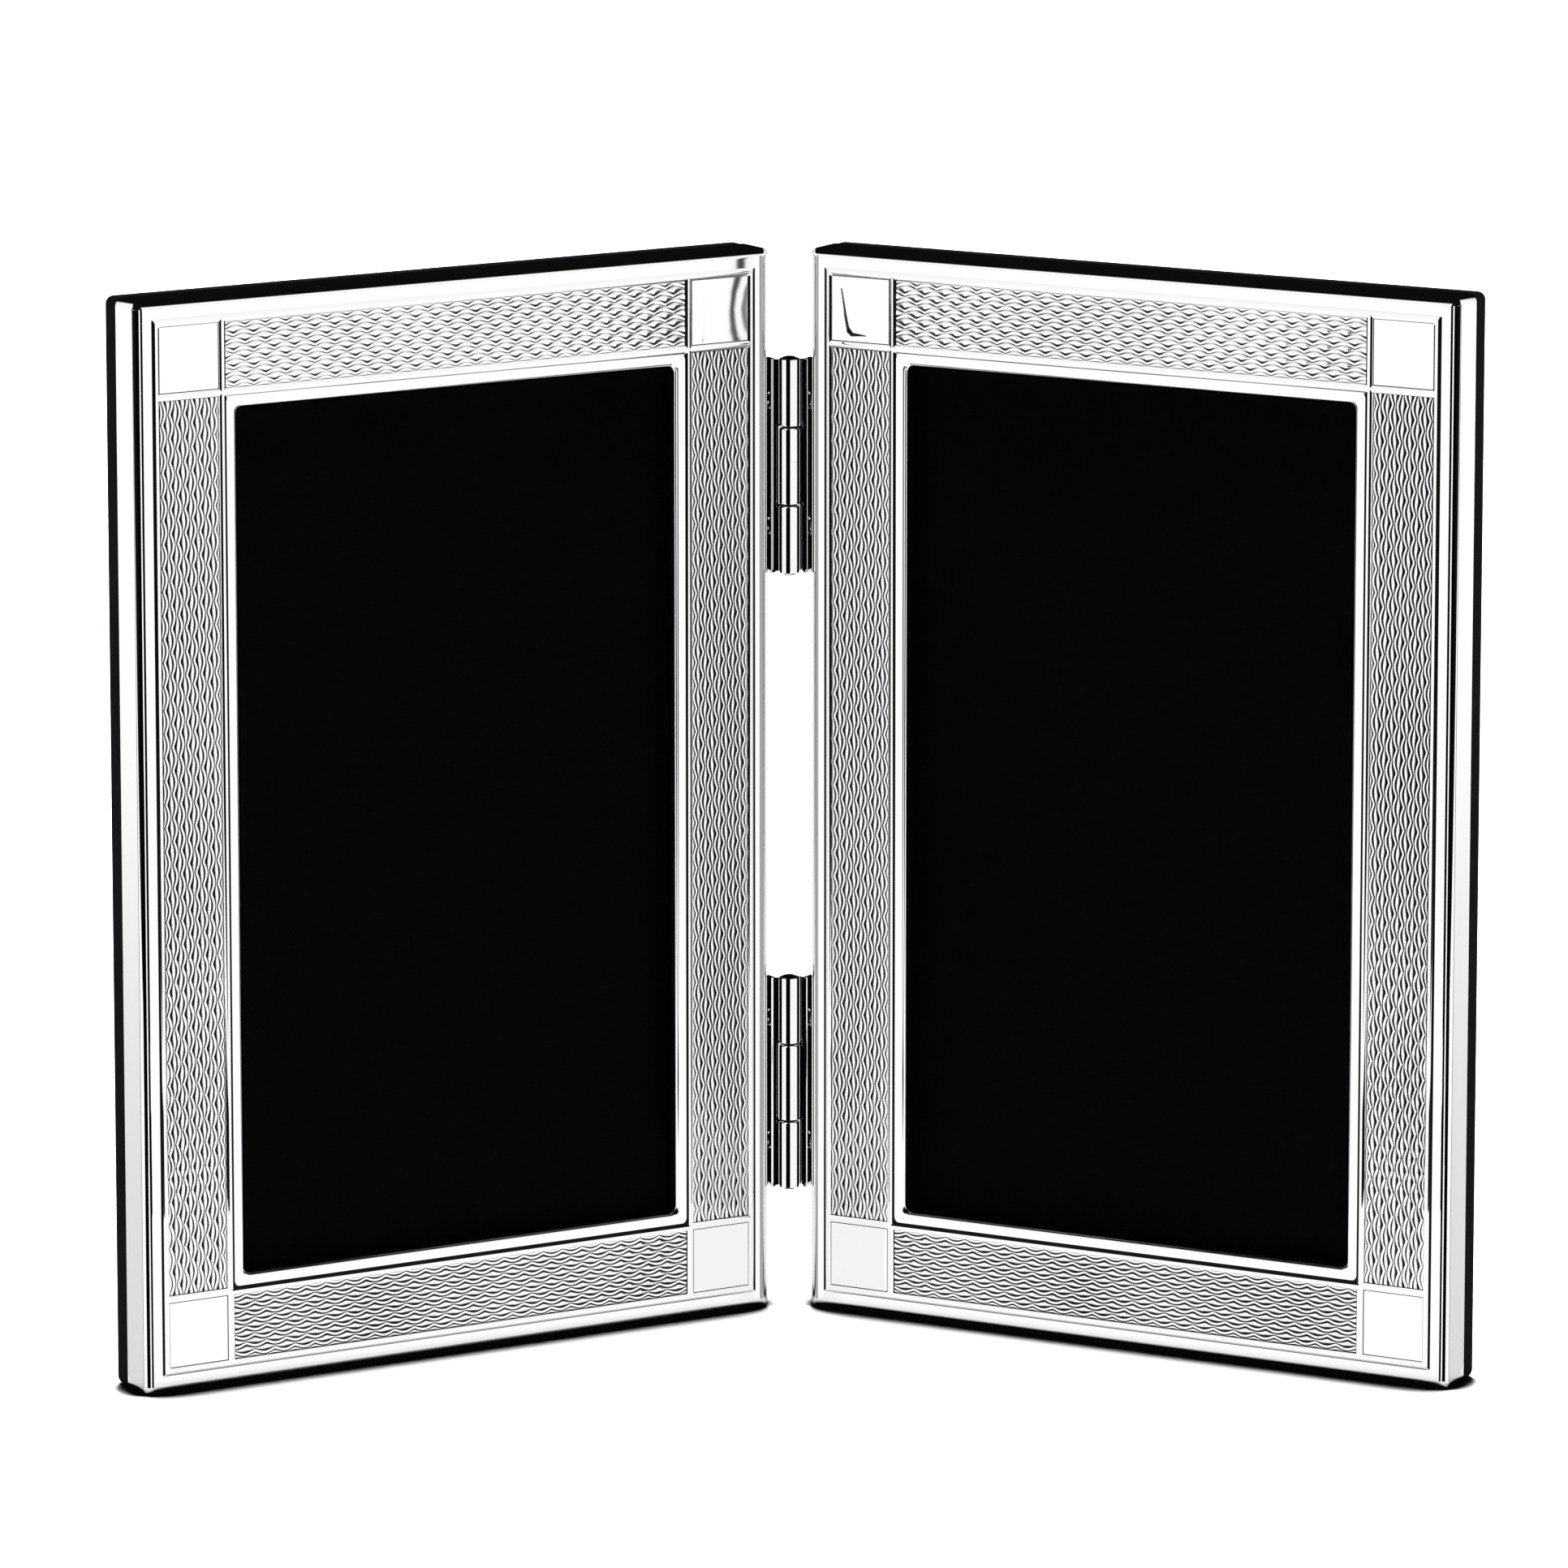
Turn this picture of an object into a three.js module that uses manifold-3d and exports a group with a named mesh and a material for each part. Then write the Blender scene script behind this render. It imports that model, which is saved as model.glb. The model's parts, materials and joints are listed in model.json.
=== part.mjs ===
// Double photo frame: two silver-faced leaves joined by a pair of hinges, standing open like a book.
// Millimetres, +Z up. The leaves stand on Z = 0 and open towards -Y, the viewer's side.
// A leaf's own frame has X across it, Y from its silver face to its back, and Z up.

import * as THREE from 'three';
import { mergeVertices } from 'three/addons/utils/BufferGeometryUtils.js';
import Module from 'manifold-3d';

const wasm = await Module();
wasm.setup();

// Clearances
const FIT = 0.3;
const PIN_CLEARANCE = 0.2;
const KNUCKLE_CLEARANCE = 0.3;

// The print that a leaf takes, and how far the silver covers its edges
const PRINT_WIDTH = 76.2;
const PRINT_HEIGHT = 127;
const PRINT_THICKNESS = 0.4;
const SIGHT_LAP_SIDE = 3;
const SIGHT_LAP_END = 2.5;

// Silver face round the picture opening
const FACE_WIDTH = 15.75;
const OUTER_BORDER = 3.2;
const BAND_WIDTH = 10.3;
const BAND_SINK = 0.15;
const BEAD_WIDTH = 1.1;
const BEAD_HEIGHT = 0.12;
const BLOCK_GAP = 0.15;
const BLOCK_CROWN = 0.1;
const BLOCK_EDGE = 0.45;

// Pressed sheet of the facing
const SHEET = 0.5;
const SIDE_DEPTH = 5.6;
const ARRIS_RADIUS = 1.1;
const FACE_CORNER_RADIUS = 1.2;
const SIGHT_CORNER_RADIUS = 1;
const LIP_RADIUS = 0.6;
const LIP_DEPTH = 1.6;

// Glass and backing
const GLASS_LAP = 3.25;
const GLASS_THICKNESS = 2;
const GLASS_CHAMFER = 0.3;
const BACKING_THICKNESS = 1.3;

// Velvet-covered back
const RIM_SETBACK = 3.55;
const RIM_THICKNESS = 3.6;
const RIM_INSET = 0.15;
const RIM_ROUND = 1.2;
const RIM_CORNER_RADIUS = 1.3;
const PANEL_ROUND = 0.6;
const PANEL_CORNER_RADIUS = 1.5;

// Turn buttons and their screws
const BUTTON_LAP = 4;
const BUTTON_PIVOT_RADIUS = 2.6;
const BUTTON_NOSE_RADIUS = 1.7;
const BUTTON_THICKNESS = 1;
const BUTTON_SCREW_RADIUS = 0.8;
const BUTTON_SCREW_BITE = 2.2;
const BUTTON_HEAD_RADIUS = 1.9;
const BUTTON_HEAD_HEIGHT = 1;

// Hinges
const HINGE_LENGTH = 30.8;
const HINGE_FROM_TOP = 15.9;
const HINGE_FROM_BOTTOM = 17.5;
const MIDDLE_KNUCKLE = 11.2;
const KNUCKLE_RADIUS = 1.45;
const PLATE_THICKNESS = 0.7;
const PLATE_SETBACK = 0.2;
const PLATE_MARGIN = 0.3;
const WEB_FRONT = 0.1;
const PIN_RADIUS = 0.75;
const PIN_HEAD_RADIUS = 1.05;
const PIN_HEAD_HEIGHT = 0.4;
const AXIS_FORWARD = 0.6;
const HINGE_SCREW_FROM_END = 6.4;
const HINGE_SCREW_RADIUS = 0.8;
const HINGE_SCREW_LENGTH = 6.5;
const HINGE_HEAD_RADIUS = 1.6;

// Screw driver slots
const SLOT_WIDTH = 0.45;
const SLOT_DEPTH = 0.4;

// Each leaf's turn out of the flat, so that they stand 119 degrees apart
const LEAF_TURN = THREE.MathUtils.degToRad(30.5);

// Roundness of the facets
const CORNER_STEPS = 3;
const EDGE_STEPS = 3;
const ROUND_SIDES = 16;

// Places that follow from the sizes above
const SIGHT_WIDTH = PRINT_WIDTH - 2 * SIGHT_LAP_SIDE;
const SIGHT_HEIGHT = PRINT_HEIGHT - 2 * SIGHT_LAP_END;
const LEAF_WIDTH = SIGHT_WIDTH + 2 * FACE_WIDTH;
const LEAF_HEIGHT = SIGHT_HEIGHT + 2 * FACE_WIDTH;
const INNER_BEAD = OUTER_BORDER + BAND_WIDTH;
const SHEET_BACK = BAND_SINK + SHEET;
const RABBET_INSET = FACE_WIDTH - GLASS_LAP - FIT;
const GLASS_FRONT = LIP_DEPTH + FIT;
const PRINT_FRONT = GLASS_FRONT + GLASS_THICKNESS + FIT;
const BACKING_FRONT = PRINT_FRONT + PRINT_THICKNESS + FIT;
const PANEL_FRONT = BACKING_FRONT + BACKING_THICKNESS + FIT;
const RIM_WIDTH = FACE_WIDTH - RIM_SETBACK;
const RIM_FRONT = SIDE_DEPTH + FIT;
const LEAF_DEPTH = RIM_FRONT + RIM_THICKNESS;
const BUTTON_REACH = RIM_WIDTH / 2 + BUTTON_LAP;
const BUTTON_FRONT = LEAF_DEPTH + FIT;
const BUTTON_HEAD_SEAT = BUTTON_FRONT + BUTTON_THICKNESS + FIT;
const PIN_BORE = PIN_RADIUS + PIN_CLEARANCE;
const PLATE_FACE = KNUCKLE_RADIUS + KNUCKLE_CLEARANCE;
const PLATE_BACK = PLATE_FACE + PLATE_THICKNESS;
const WALL_FROM_AXIS = PLATE_BACK + FIT;
const PLATE_DEPTH = SIDE_DEPTH - PLATE_SETBACK - PLATE_MARGIN;
const PLATE_FRONT = AXIS_FORWARD + PLATE_SETBACK;
const HINGE_SCREW_DEPTH = PLATE_FRONT + PLATE_DEPTH / 2;
const HINGE_SCREW_OFFSET = HINGE_LENGTH / 2 - HINGE_SCREW_FROM_END;
const HINGE_CENTRES = {
  upper: LEAF_HEIGHT - HINGE_FROM_TOP - HINGE_LENGTH / 2,
  lower: HINGE_FROM_BOTTOM + HINGE_LENGTH / 2,
};

const silver = new THREE.MeshStandardMaterial({ color: 0xe4e5e6, roughness: 0.08, metalness: 1 });
const hingeMetal = new THREE.MeshStandardMaterial({ color: 0xc9cacd, roughness: 0.14, metalness: 1 });
const brass = new THREE.MeshStandardMaterial({ color: 0xb08d4f, roughness: 0.3, metalness: 1 });
const wood = new THREE.MeshStandardMaterial({ color: 0xb08a5c, roughness: 0.75, metalness: 0 });
const glass = new THREE.MeshStandardMaterial({ color: 0xdfe7e6, roughness: 0.04, metalness: 0 });
const blackCard = new THREE.MeshStandardMaterial({ color: 0x050505, roughness: 0.6, metalness: 0 });
const greyBoard = new THREE.MeshStandardMaterial({ color: 0x8b8172, roughness: 0.9, metalness: 0 });
const velvet = new THREE.MeshStandardMaterial({ color: 0x08080a, roughness: 0.95, metalness: 0 });

// Joining and cutting of closed shapes
function solidOf(geometry) {
  const bare = geometry.clone();
  bare.deleteAttribute('normal');
  bare.deleteAttribute('uv');
  const merged = mergeVertices(bare, 1e-4);
  return new wasm.Manifold(new wasm.Mesh({
    numProp: 3,
    vertProperties: new Float32Array(merged.attributes.position.array),
    triVerts: new Uint32Array(merged.index.array),
  }));
}

function geometryOf(solid) {
  const mesh = solid.getMesh();
  const geometry = new THREE.BufferGeometry();
  geometry.setAttribute('position', new THREE.BufferAttribute(mesh.vertProperties, 3));
  geometry.setIndex(new THREE.BufferAttribute(mesh.triVerts, 1));
  geometry.computeVertexNormals();
  return geometry;
}

function join(...geometries) {
  return geometryOf(geometries.map(solidOf).reduce((whole, next) => whole.add(next)));
}

function cut(geometry, cutters) {
  return geometryOf(cutters.map(solidOf).reduce((rest, cutter) => rest.subtract(cutter), solidOf(geometry)));
}

function meshFrom(points, triangles) {
  const geometry = new THREE.BufferGeometry();
  geometry.setAttribute('position', new THREE.Float32BufferAttribute(points.flat(), 3));
  geometry.setIndex(triangles);
  geometry.computeVertexNormals();
  return geometry;
}

// A rounded rectangle in X and Z about the origin, counter-clockwise as the viewer sees it
function outline(width, height, radius) {
  const points = [];
  for (let corner = 0; corner < 4; corner += 1) {
    const sideX = corner < 2 ? 1 : -1;
    const sideZ = corner === 1 || corner === 2 ? 1 : -1;
    for (let step = 0; step <= CORNER_STEPS; step += 1) {
      const angle = (corner - 1 + step / CORNER_STEPS) * Math.PI / 2;
      points.push([
        sideX * (width / 2 - radius) + radius * Math.cos(angle),
        sideZ * (height / 2 - radius) + radius * Math.sin(angle),
      ]);
    }
  }
  return points;
}

// Triangles between one loop of points and the next, where loop follows loop in the point list
function band(first, second, count) {
  const triangles = [];
  for (let k = 0; k < count; k += 1) {
    const next = (k + 1) % count;
    triangles.push(first + k, first + next, second + next, first + k, second + next, second + k);
  }
  return triangles;
}

// A frame moulding: a closed section of [inset, depth] points carried round the leaf
function moulding(section, cornerRadius, leastRadius) {
  const loops = section.map(([inset, depth]) => {
    const radius = Math.max(cornerRadius - inset, leastRadius);
    return outline(LEAF_WIDTH - 2 * inset, LEAF_HEIGHT - 2 * inset, radius)
      .map(([x, z]) => [x, depth, z + LEAF_HEIGHT / 2]);
  });
  const count = loops[0].length;
  const triangles = loops.flatMap((_, i) => band(i * count, ((i + 1) % loops.length) * count, count));
  return meshFrom(loops.flat(), triangles);
}

// A flat piece built of layers from back to front, each a rounded rectangle at one depth
function layered(layers, centreX, centreZ) {
  const loops = layers.map(({ width, height, radius, depth }) => (
    outline(width, height, radius).map(([x, z]) => [x + centreX, depth, z + centreZ])));
  const count = loops[0].length;
  const points = loops.flat();
  const triangles = loops.slice(1).flatMap((_, i) => band(i * count, (i + 1) * count, count));
  const frontLoop = (layers.length - 1) * count;
  const backCentre = points.push([centreX, layers[0].depth, centreZ]) - 1;
  const frontCentre = points.push([centreX, layers.at(-1).depth, centreZ]) - 1;
  for (let k = 0; k < count; k += 1) {
    const next = (k + 1) % count;
    triangles.push(backCentre, next, k, frontCentre, frontLoop + k, frontLoop + next);
  }
  return meshFrom(points, triangles);
}

function block(sizeX, sizeY, sizeZ, x, y, z) {
  return new THREE.BoxGeometry(sizeX, sizeY, sizeZ).translate(x, y, z);
}

function roundBarAlongX(radius, length, x, y, z) {
  const bar = new THREE.CylinderGeometry(radius, radius, length, ROUND_SIDES);
  return bar.rotateZ(Math.PI / 2).translate(x, y, z);
}

function roundBarAlongZ(radius, length, x, y, z) {
  const bar = new THREE.CylinderGeometry(radius, radius, length, ROUND_SIDES);
  return bar.rotateX(Math.PI / 2).translate(x, y, z);
}

// A turned shape about the Y axis, from [radius, height] points that start and end on the axis
function turned(profile) {
  return new THREE.LatheGeometry(profile.map(([radius, y]) => new THREE.Vector2(radius, y)), ROUND_SIDES);
}

function quarterArc(centre, radius, fromAngle) {
  const points = [];
  for (let step = 0; step <= EDGE_STEPS; step += 1) {
    const angle = fromAngle + (step / EDGE_STEPS) * Math.PI / 2;
    points.push([centre[0] + radius * Math.cos(angle), centre[1] + radius * Math.sin(angle)]);
  }
  return points;
}

// The half-round bead that edges the patterned band, from the level before it to the level after it
function bead(middle, levelBefore, levelAfter) {
  const half = BEAD_WIDTH / 2;
  const shoulder = half * Math.SQRT1_2;
  return [
    [middle - half, levelBefore],
    [middle - shoulder, -BEAD_HEIGHT * Math.SQRT1_2],
    [middle, -BEAD_HEIGHT],
    [middle + shoulder, -BEAD_HEIGHT * Math.SQRT1_2],
    [middle + half, levelAfter],
  ];
}

// Silver facing: one pressed sheet with side walls, beads, raised corner blocks and a lip at the opening
function facing(hingeSide) {
  const section = [
    [0, SIDE_DEPTH],
    ...quarterArc([ARRIS_RADIUS, ARRIS_RADIUS], ARRIS_RADIUS, Math.PI),
    ...bead(OUTER_BORDER, 0, BAND_SINK),
    ...bead(INNER_BEAD, BAND_SINK, 0),
    ...quarterArc([FACE_WIDTH - LIP_RADIUS, LIP_RADIUS], LIP_RADIUS, -Math.PI / 2),
    [FACE_WIDTH, LIP_DEPTH],
    [FACE_WIDTH - SHEET, LIP_DEPTH],
    [FACE_WIDTH - SHEET, SHEET_BACK],
    [ARRIS_RADIUS, SHEET_BACK],
    [SHEET, ARRIS_RADIUS],
    [SHEET, SIDE_DEPTH],
  ];
  const sheet = moulding(section, FACE_CORNER_RADIUS, SIGHT_CORNER_RADIUS);
  const blockSize = BAND_WIDTH - BEAD_WIDTH - 2 * BLOCK_GAP;
  const fromEdge = OUTER_BORDER + BAND_WIDTH / 2;
  const blocks = [];
  for (const x of [fromEdge - LEAF_WIDTH / 2, LEAF_WIDTH / 2 - fromEdge]) {
    for (const z of [fromEdge, LEAF_HEIGHT - fromEdge]) {
      const steps = [
        [0, BAND_SINK + SHEET / 2],
        [0, 0],
        [BLOCK_EDGE, -BLOCK_CROWN / 2],
        [2 * BLOCK_EDGE, -BLOCK_CROWN],
      ];
      blocks.push(layered(steps.map(([inset, depth]) => ({
        width: blockSize - 2 * inset,
        height: blockSize - 2 * inset,
        radius: BLOCK_EDGE,
        depth,
      })), x, z));
    }
  }
  return cut(join(sheet, ...blocks), hingeScrewHoles(hingeSide));
}

// Wooden core that the facing is pressed over, rebated for the glass
function coreFrame(hingeSide) {
  const outer = SHEET + FIT;
  const front = SHEET_BACK + FIT;
  const section = [
    [outer, SIDE_DEPTH],
    [outer, front + ARRIS_RADIUS],
    [outer + ARRIS_RADIUS, front],
    [RABBET_INSET, front],
    [RABBET_INSET, SIDE_DEPTH],
  ];
  return cut(moulding(section, FACE_CORNER_RADIUS, SIGHT_CORNER_RADIUS), hingeScrewHoles(hingeSide));
}

function hingeScrewPlaces() {
  return Object.values(HINGE_CENTRES).flatMap((centre) => [
    centre - HINGE_SCREW_OFFSET,
    centre + HINGE_SCREW_OFFSET,
  ]);
}

// Clearance holes for the hinge screws in the leaf's hinge side wall
function hingeScrewHoles(hingeSide) {
  const length = 2 * HINGE_SCREW_LENGTH;
  const y = HINGE_SCREW_DEPTH - AXIS_FORWARD;
  return hingeScrewPlaces().map((z) => (
    roundBarAlongX(HINGE_SCREW_RADIUS + FIT, length, hingeSide * LEAF_WIDTH / 2, y, z)));
}

function glassPane() {
  const width = SIGHT_WIDTH + 2 * GLASS_LAP;
  const height = SIGHT_HEIGHT + 2 * GLASS_LAP;
  const back = GLASS_FRONT + GLASS_THICKNESS;
  const steps = [
    [GLASS_CHAMFER, back],
    [0, back - GLASS_CHAMFER],
    [0, GLASS_FRONT + GLASS_CHAMFER],
    [GLASS_CHAMFER, GLASS_FRONT],
  ];
  return layered(steps.map(([inset, depth]) => ({
    width: width - 2 * inset,
    height: height - 2 * inset,
    radius: SIGHT_CORNER_RADIUS,
    depth,
  })), 0, LEAF_HEIGHT / 2);
}

function printSizedSheet(front, thickness) {
  return layered([front + thickness, front].map((depth) => ({
    width: PRINT_WIDTH,
    height: PRINT_HEIGHT,
    radius: SIGHT_CORNER_RADIUS,
    depth,
  })), 0, LEAF_HEIGHT / 2);
}

// Places of the four turn buttons, with the turn that points each nose at the back panel
function buttonPlaces(hingeSide) {
  const inset = RIM_WIDTH / 2;
  const side = LEAF_WIDTH / 2 - inset;
  const middle = LEAF_HEIGHT / 2;
  return {
    top: { x: 0, z: LEAF_HEIGHT - inset, turn: 0 },
    bottom: { x: 0, z: inset, turn: Math.PI },
    inner: { x: hingeSide * side, z: middle, turn: hingeSide * Math.PI / 2 },
    outer: { x: -hingeSide * side, z: middle, turn: -hingeSide * Math.PI / 2 },
  };
}

// Velvet-covered rim behind the facing, with the screw holes of its turn buttons
function backRim(hingeSide) {
  const section = [
    [RIM_WIDTH, RIM_FRONT],
    [RIM_WIDTH, LEAF_DEPTH],
    ...quarterArc([RIM_INSET + RIM_ROUND, LEAF_DEPTH - RIM_ROUND], RIM_ROUND, Math.PI / 2),
    [RIM_INSET, RIM_FRONT],
  ];
  const holes = Object.values(buttonPlaces(hingeSide)).map(({ x, z }) => (
    new THREE.CylinderGeometry(
      BUTTON_SCREW_RADIUS + FIT,
      BUTTON_SCREW_RADIUS + FIT,
      4 * RIM_THICKNESS,
      ROUND_SIDES,
    ).translate(x, LEAF_DEPTH, z)));
  return cut(moulding(section, RIM_CORNER_RADIUS, SIGHT_CORNER_RADIUS), holes);
}

// Velvet-covered panel that drops into the rim and presses the backing card on the print
function backPanel() {
  const width = LEAF_WIDTH - 2 * (RIM_WIDTH + FIT);
  const height = LEAF_HEIGHT - 2 * (RIM_WIDTH + FIT);
  const steps = [
    [PANEL_ROUND, LEAF_DEPTH],
    [0, LEAF_DEPTH - PANEL_ROUND],
    [0, PANEL_FRONT],
  ];
  return layered(steps.map(([inset, depth]) => ({
    width: width - 2 * inset,
    height: height - 2 * inset,
    radius: PANEL_CORNER_RADIUS,
    depth,
  })), 0, LEAF_HEIGHT / 2);
}

// Pear-shaped brass plate that swings on its screw, drawn with its nose down
function turnButton() {
  const noseDrop = BUTTON_REACH - BUTTON_NOSE_RADIUS;
  const lean = Math.asin((BUTTON_PIVOT_RADIUS - BUTTON_NOSE_RADIUS) / noseDrop);
  const shape = new THREE.Shape();
  shape.absarc(0, 0, BUTTON_PIVOT_RADIUS, -lean, Math.PI + lean, false);
  shape.absarc(0, -noseDrop, BUTTON_NOSE_RADIUS, Math.PI + lean, 2 * Math.PI - lean, false);
  shape.holes.push(new THREE.Path().absarc(0, 0, BUTTON_SCREW_RADIUS + FIT, 0, 2 * Math.PI, true));
  const plate = new THREE.ExtrudeGeometry(shape, {
    depth: BUTTON_THICKNESS,
    bevelEnabled: false,
    curveSegments: ROUND_SIDES / 2,
  });
  return plate.rotateX(Math.PI / 2).translate(0, BUTTON_FRONT + BUTTON_THICKNESS, 0);
}

function domedScrew() {
  const dome = [];
  for (let step = 0; step <= EDGE_STEPS; step += 1) {
    const angle = (step / EDGE_STEPS) * Math.PI / 2;
    const radius = step === EDGE_STEPS ? 0 : BUTTON_HEAD_RADIUS * Math.cos(angle);
    dome.push([radius, BUTTON_HEAD_SEAT + BUTTON_HEAD_HEIGHT * Math.sin(angle)]);
  }
  const tip = LEAF_DEPTH - BUTTON_SCREW_BITE;
  const screw = turned([
    [0, tip],
    [BUTTON_SCREW_RADIUS, tip + BUTTON_SCREW_RADIUS],
    [BUTTON_SCREW_RADIUS, BUTTON_HEAD_SEAT],
    ...dome,
  ]);
  const top = BUTTON_HEAD_SEAT + BUTTON_HEAD_HEIGHT;
  return cut(screw, [block(2 * BUTTON_HEAD_RADIUS, 2 * SLOT_DEPTH, SLOT_WIDTH, 0, top, 0)]);
}

// Countersunk screw with its head on Y = 0 and its point towards -Y
function countersunkScrew() {
  const screw = turned([
    [0, -HINGE_SCREW_LENGTH],
    [HINGE_SCREW_RADIUS, HINGE_SCREW_RADIUS - HINGE_SCREW_LENGTH],
    [HINGE_SCREW_RADIUS, HINGE_SCREW_RADIUS - HINGE_HEAD_RADIUS],
    [HINGE_HEAD_RADIUS, 0],
    [0, 0],
  ]);
  return cut(screw, [block(SLOT_WIDTH, 2 * SLOT_DEPTH, 3 * HINGE_HEAD_RADIUS, 0, 0, 0)]);
}

// The matching countersunk hole, from beyond the plate's face to beyond its back
function countersunkHole() {
  const headRadius = HINGE_HEAD_RADIUS + FIT;
  const shankRadius = HINGE_SCREW_RADIUS + FIT;
  return turned([
    [0, -2 * PLATE_THICKNESS],
    [shankRadius, -2 * PLATE_THICKNESS],
    [shankRadius, HINGE_SCREW_RADIUS - HINGE_HEAD_RADIUS],
    [headRadius, 0],
    [headRadius, PLATE_THICKNESS],
    [0, PLATE_THICKNESS],
  ]);
}

// A hinge screw's turned shape is laid along X, with its head facing the hinge axis
function layAlongX(geometry, hingeSide) {
  return geometry.rotateZ(-hingeSide * Math.PI / 2);
}

// Knuckle spans along the hinge: the left plate has the outer two, the right plate the middle one
function knuckleSpans(isLeft) {
  const half = HINGE_LENGTH / 2;
  const split = MIDDLE_KNUCKLE / 2;
  const play = KNUCKLE_CLEARANCE / 2;
  return isLeft ? [[-half, -split - play], [split + play, half]] : [[play - split, split - play]];
}

// Hinge plate with its knuckles, about the hinge axis. outward is the side of the axis its leaf is on
function hingePlate(isLeft) {
  const outward = isLeft ? -1 : 1;
  const plate = block(
    PLATE_THICKNESS,
    PLATE_DEPTH,
    HINGE_LENGTH,
    outward * (PLATE_FACE + PLATE_THICKNESS / 2),
    PLATE_FRONT + PLATE_DEPTH / 2,
    0,
  );
  const webReach = PLATE_FACE + PLATE_THICKNESS / 2;
  const pieces = knuckleSpans(isLeft).flatMap(([low, high]) => {
    const length = high - low;
    const middle = (high + low) / 2;
    const webDepth = KNUCKLE_RADIUS - WEB_FRONT;
    return [
      roundBarAlongZ(KNUCKLE_RADIUS, length, 0, 0, middle),
      block(webReach, webDepth, length, outward * webReach / 2, WEB_FRONT + webDepth / 2, middle),
    ];
  });
  const holes = [-HINGE_SCREW_OFFSET, HINGE_SCREW_OFFSET].map((z) => (
    layAlongX(countersunkHole(), -outward).translate(outward * PLATE_FACE, HINGE_SCREW_DEPTH, z)));
  const bore = roundBarAlongZ(PIN_BORE, 2 * HINGE_LENGTH, 0, 0, 0);
  return cut(join(plate, ...pieces), [bore, ...holes]);
}

// Hinge pin with its ends peened over the end knuckles
function hingePin() {
  const end = HINGE_LENGTH / 2 + FIT;
  const tip = end + PIN_HEAD_HEIGHT;
  const crown = PIN_HEAD_RADIUS * Math.SQRT1_2;
  return turned([
    [0, -tip],
    [crown, -tip],
    [PIN_HEAD_RADIUS, -end],
    [PIN_RADIUS, -end],
    [PIN_RADIUS, end],
    [PIN_HEAD_RADIUS, end],
    [crown, tip],
    [0, tip],
  ]).rotateX(Math.PI / 2);
}

function piece(name, geometry, material) {
  const mesh = new THREE.Mesh(geometry, material);
  mesh.name = name;
  return mesh;
}

// One leaf with everything that it carries, turned about the hinge axis
function leaf(name) {
  const isLeft = name === 'left';
  const hingeSide = isLeft ? 1 : -1;
  const body = new THREE.Group();
  body.add(
    piece(`${name}_facing`, facing(hingeSide), silver),
    piece(`${name}_core_frame`, coreFrame(hingeSide), wood),
    piece(`${name}_glass`, glassPane(), glass),
    piece(`${name}_photo_card`, printSizedSheet(PRINT_FRONT, PRINT_THICKNESS), blackCard),
    piece(`${name}_backing_card`, printSizedSheet(BACKING_FRONT, BACKING_THICKNESS), greyBoard),
    piece(`${name}_back_rim`, backRim(hingeSide), velvet),
    piece(`${name}_back_panel`, backPanel(), velvet),
  );
  for (const [place, { x, z, turn }] of Object.entries(buttonPlaces(hingeSide))) {
    const swivel = new THREE.Group();
    swivel.position.set(x, 0, z);
    swivel.rotation.y = turn;
    swivel.add(
      piece(`${name}_turn_button_${place}`, turnButton(), brass),
      piece(`${name}_button_screw_${place}`, domedScrew(), brass),
    );
    body.add(swivel);
  }
  body.position.set(-hingeSide * (WALL_FROM_AXIS + LEAF_WIDTH / 2), AXIS_FORWARD, 0);

  const wing = new THREE.Group();
  wing.add(body);
  for (const [level, centre] of Object.entries(HINGE_CENTRES)) {
    const plate = piece(`${level}_hinge_${name}_plate`, hingePlate(isLeft), hingeMetal);
    plate.position.z = centre;
    wing.add(plate);
  }
  hingeScrewPlaces().forEach((z, i) => {
    const screw = piece(`${name}_hinge_screw_${i + 1}`, layAlongX(countersunkScrew(), hingeSide), hingeMetal);
    screw.position.set(-hingeSide * PLATE_FACE, HINGE_SCREW_DEPTH, z);
    wing.add(screw);
  });
  wing.rotation.z = hingeSide * LEAF_TURN;
  return wing;
}

const frame = new THREE.Group();
frame.add(leaf('left'), leaf('right'));
for (const [level, centre] of Object.entries(HINGE_CENTRES)) {
  const pin = piece(`${level}_hinge_pin`, hingePin(), hingeMetal);
  pin.position.z = centre;
  frame.add(pin);
}

// The origin lies on the floor under the middle of the open frame
const reach = new THREE.Box3().setFromObject(frame, true).getCenter(new THREE.Vector3());
frame.position.set(-reach.x, -reach.y, 0);

export default frame;
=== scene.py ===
# Looks of a double photo frame: two silver-faced leaves that stand open on a pair of hinges.
# The shared frame is in metres. A piece is drawn in its leaf's own millimetres and then put in place.

import json
import math

import bmesh
import bpy
from mathutils import Matrix, Vector


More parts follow.
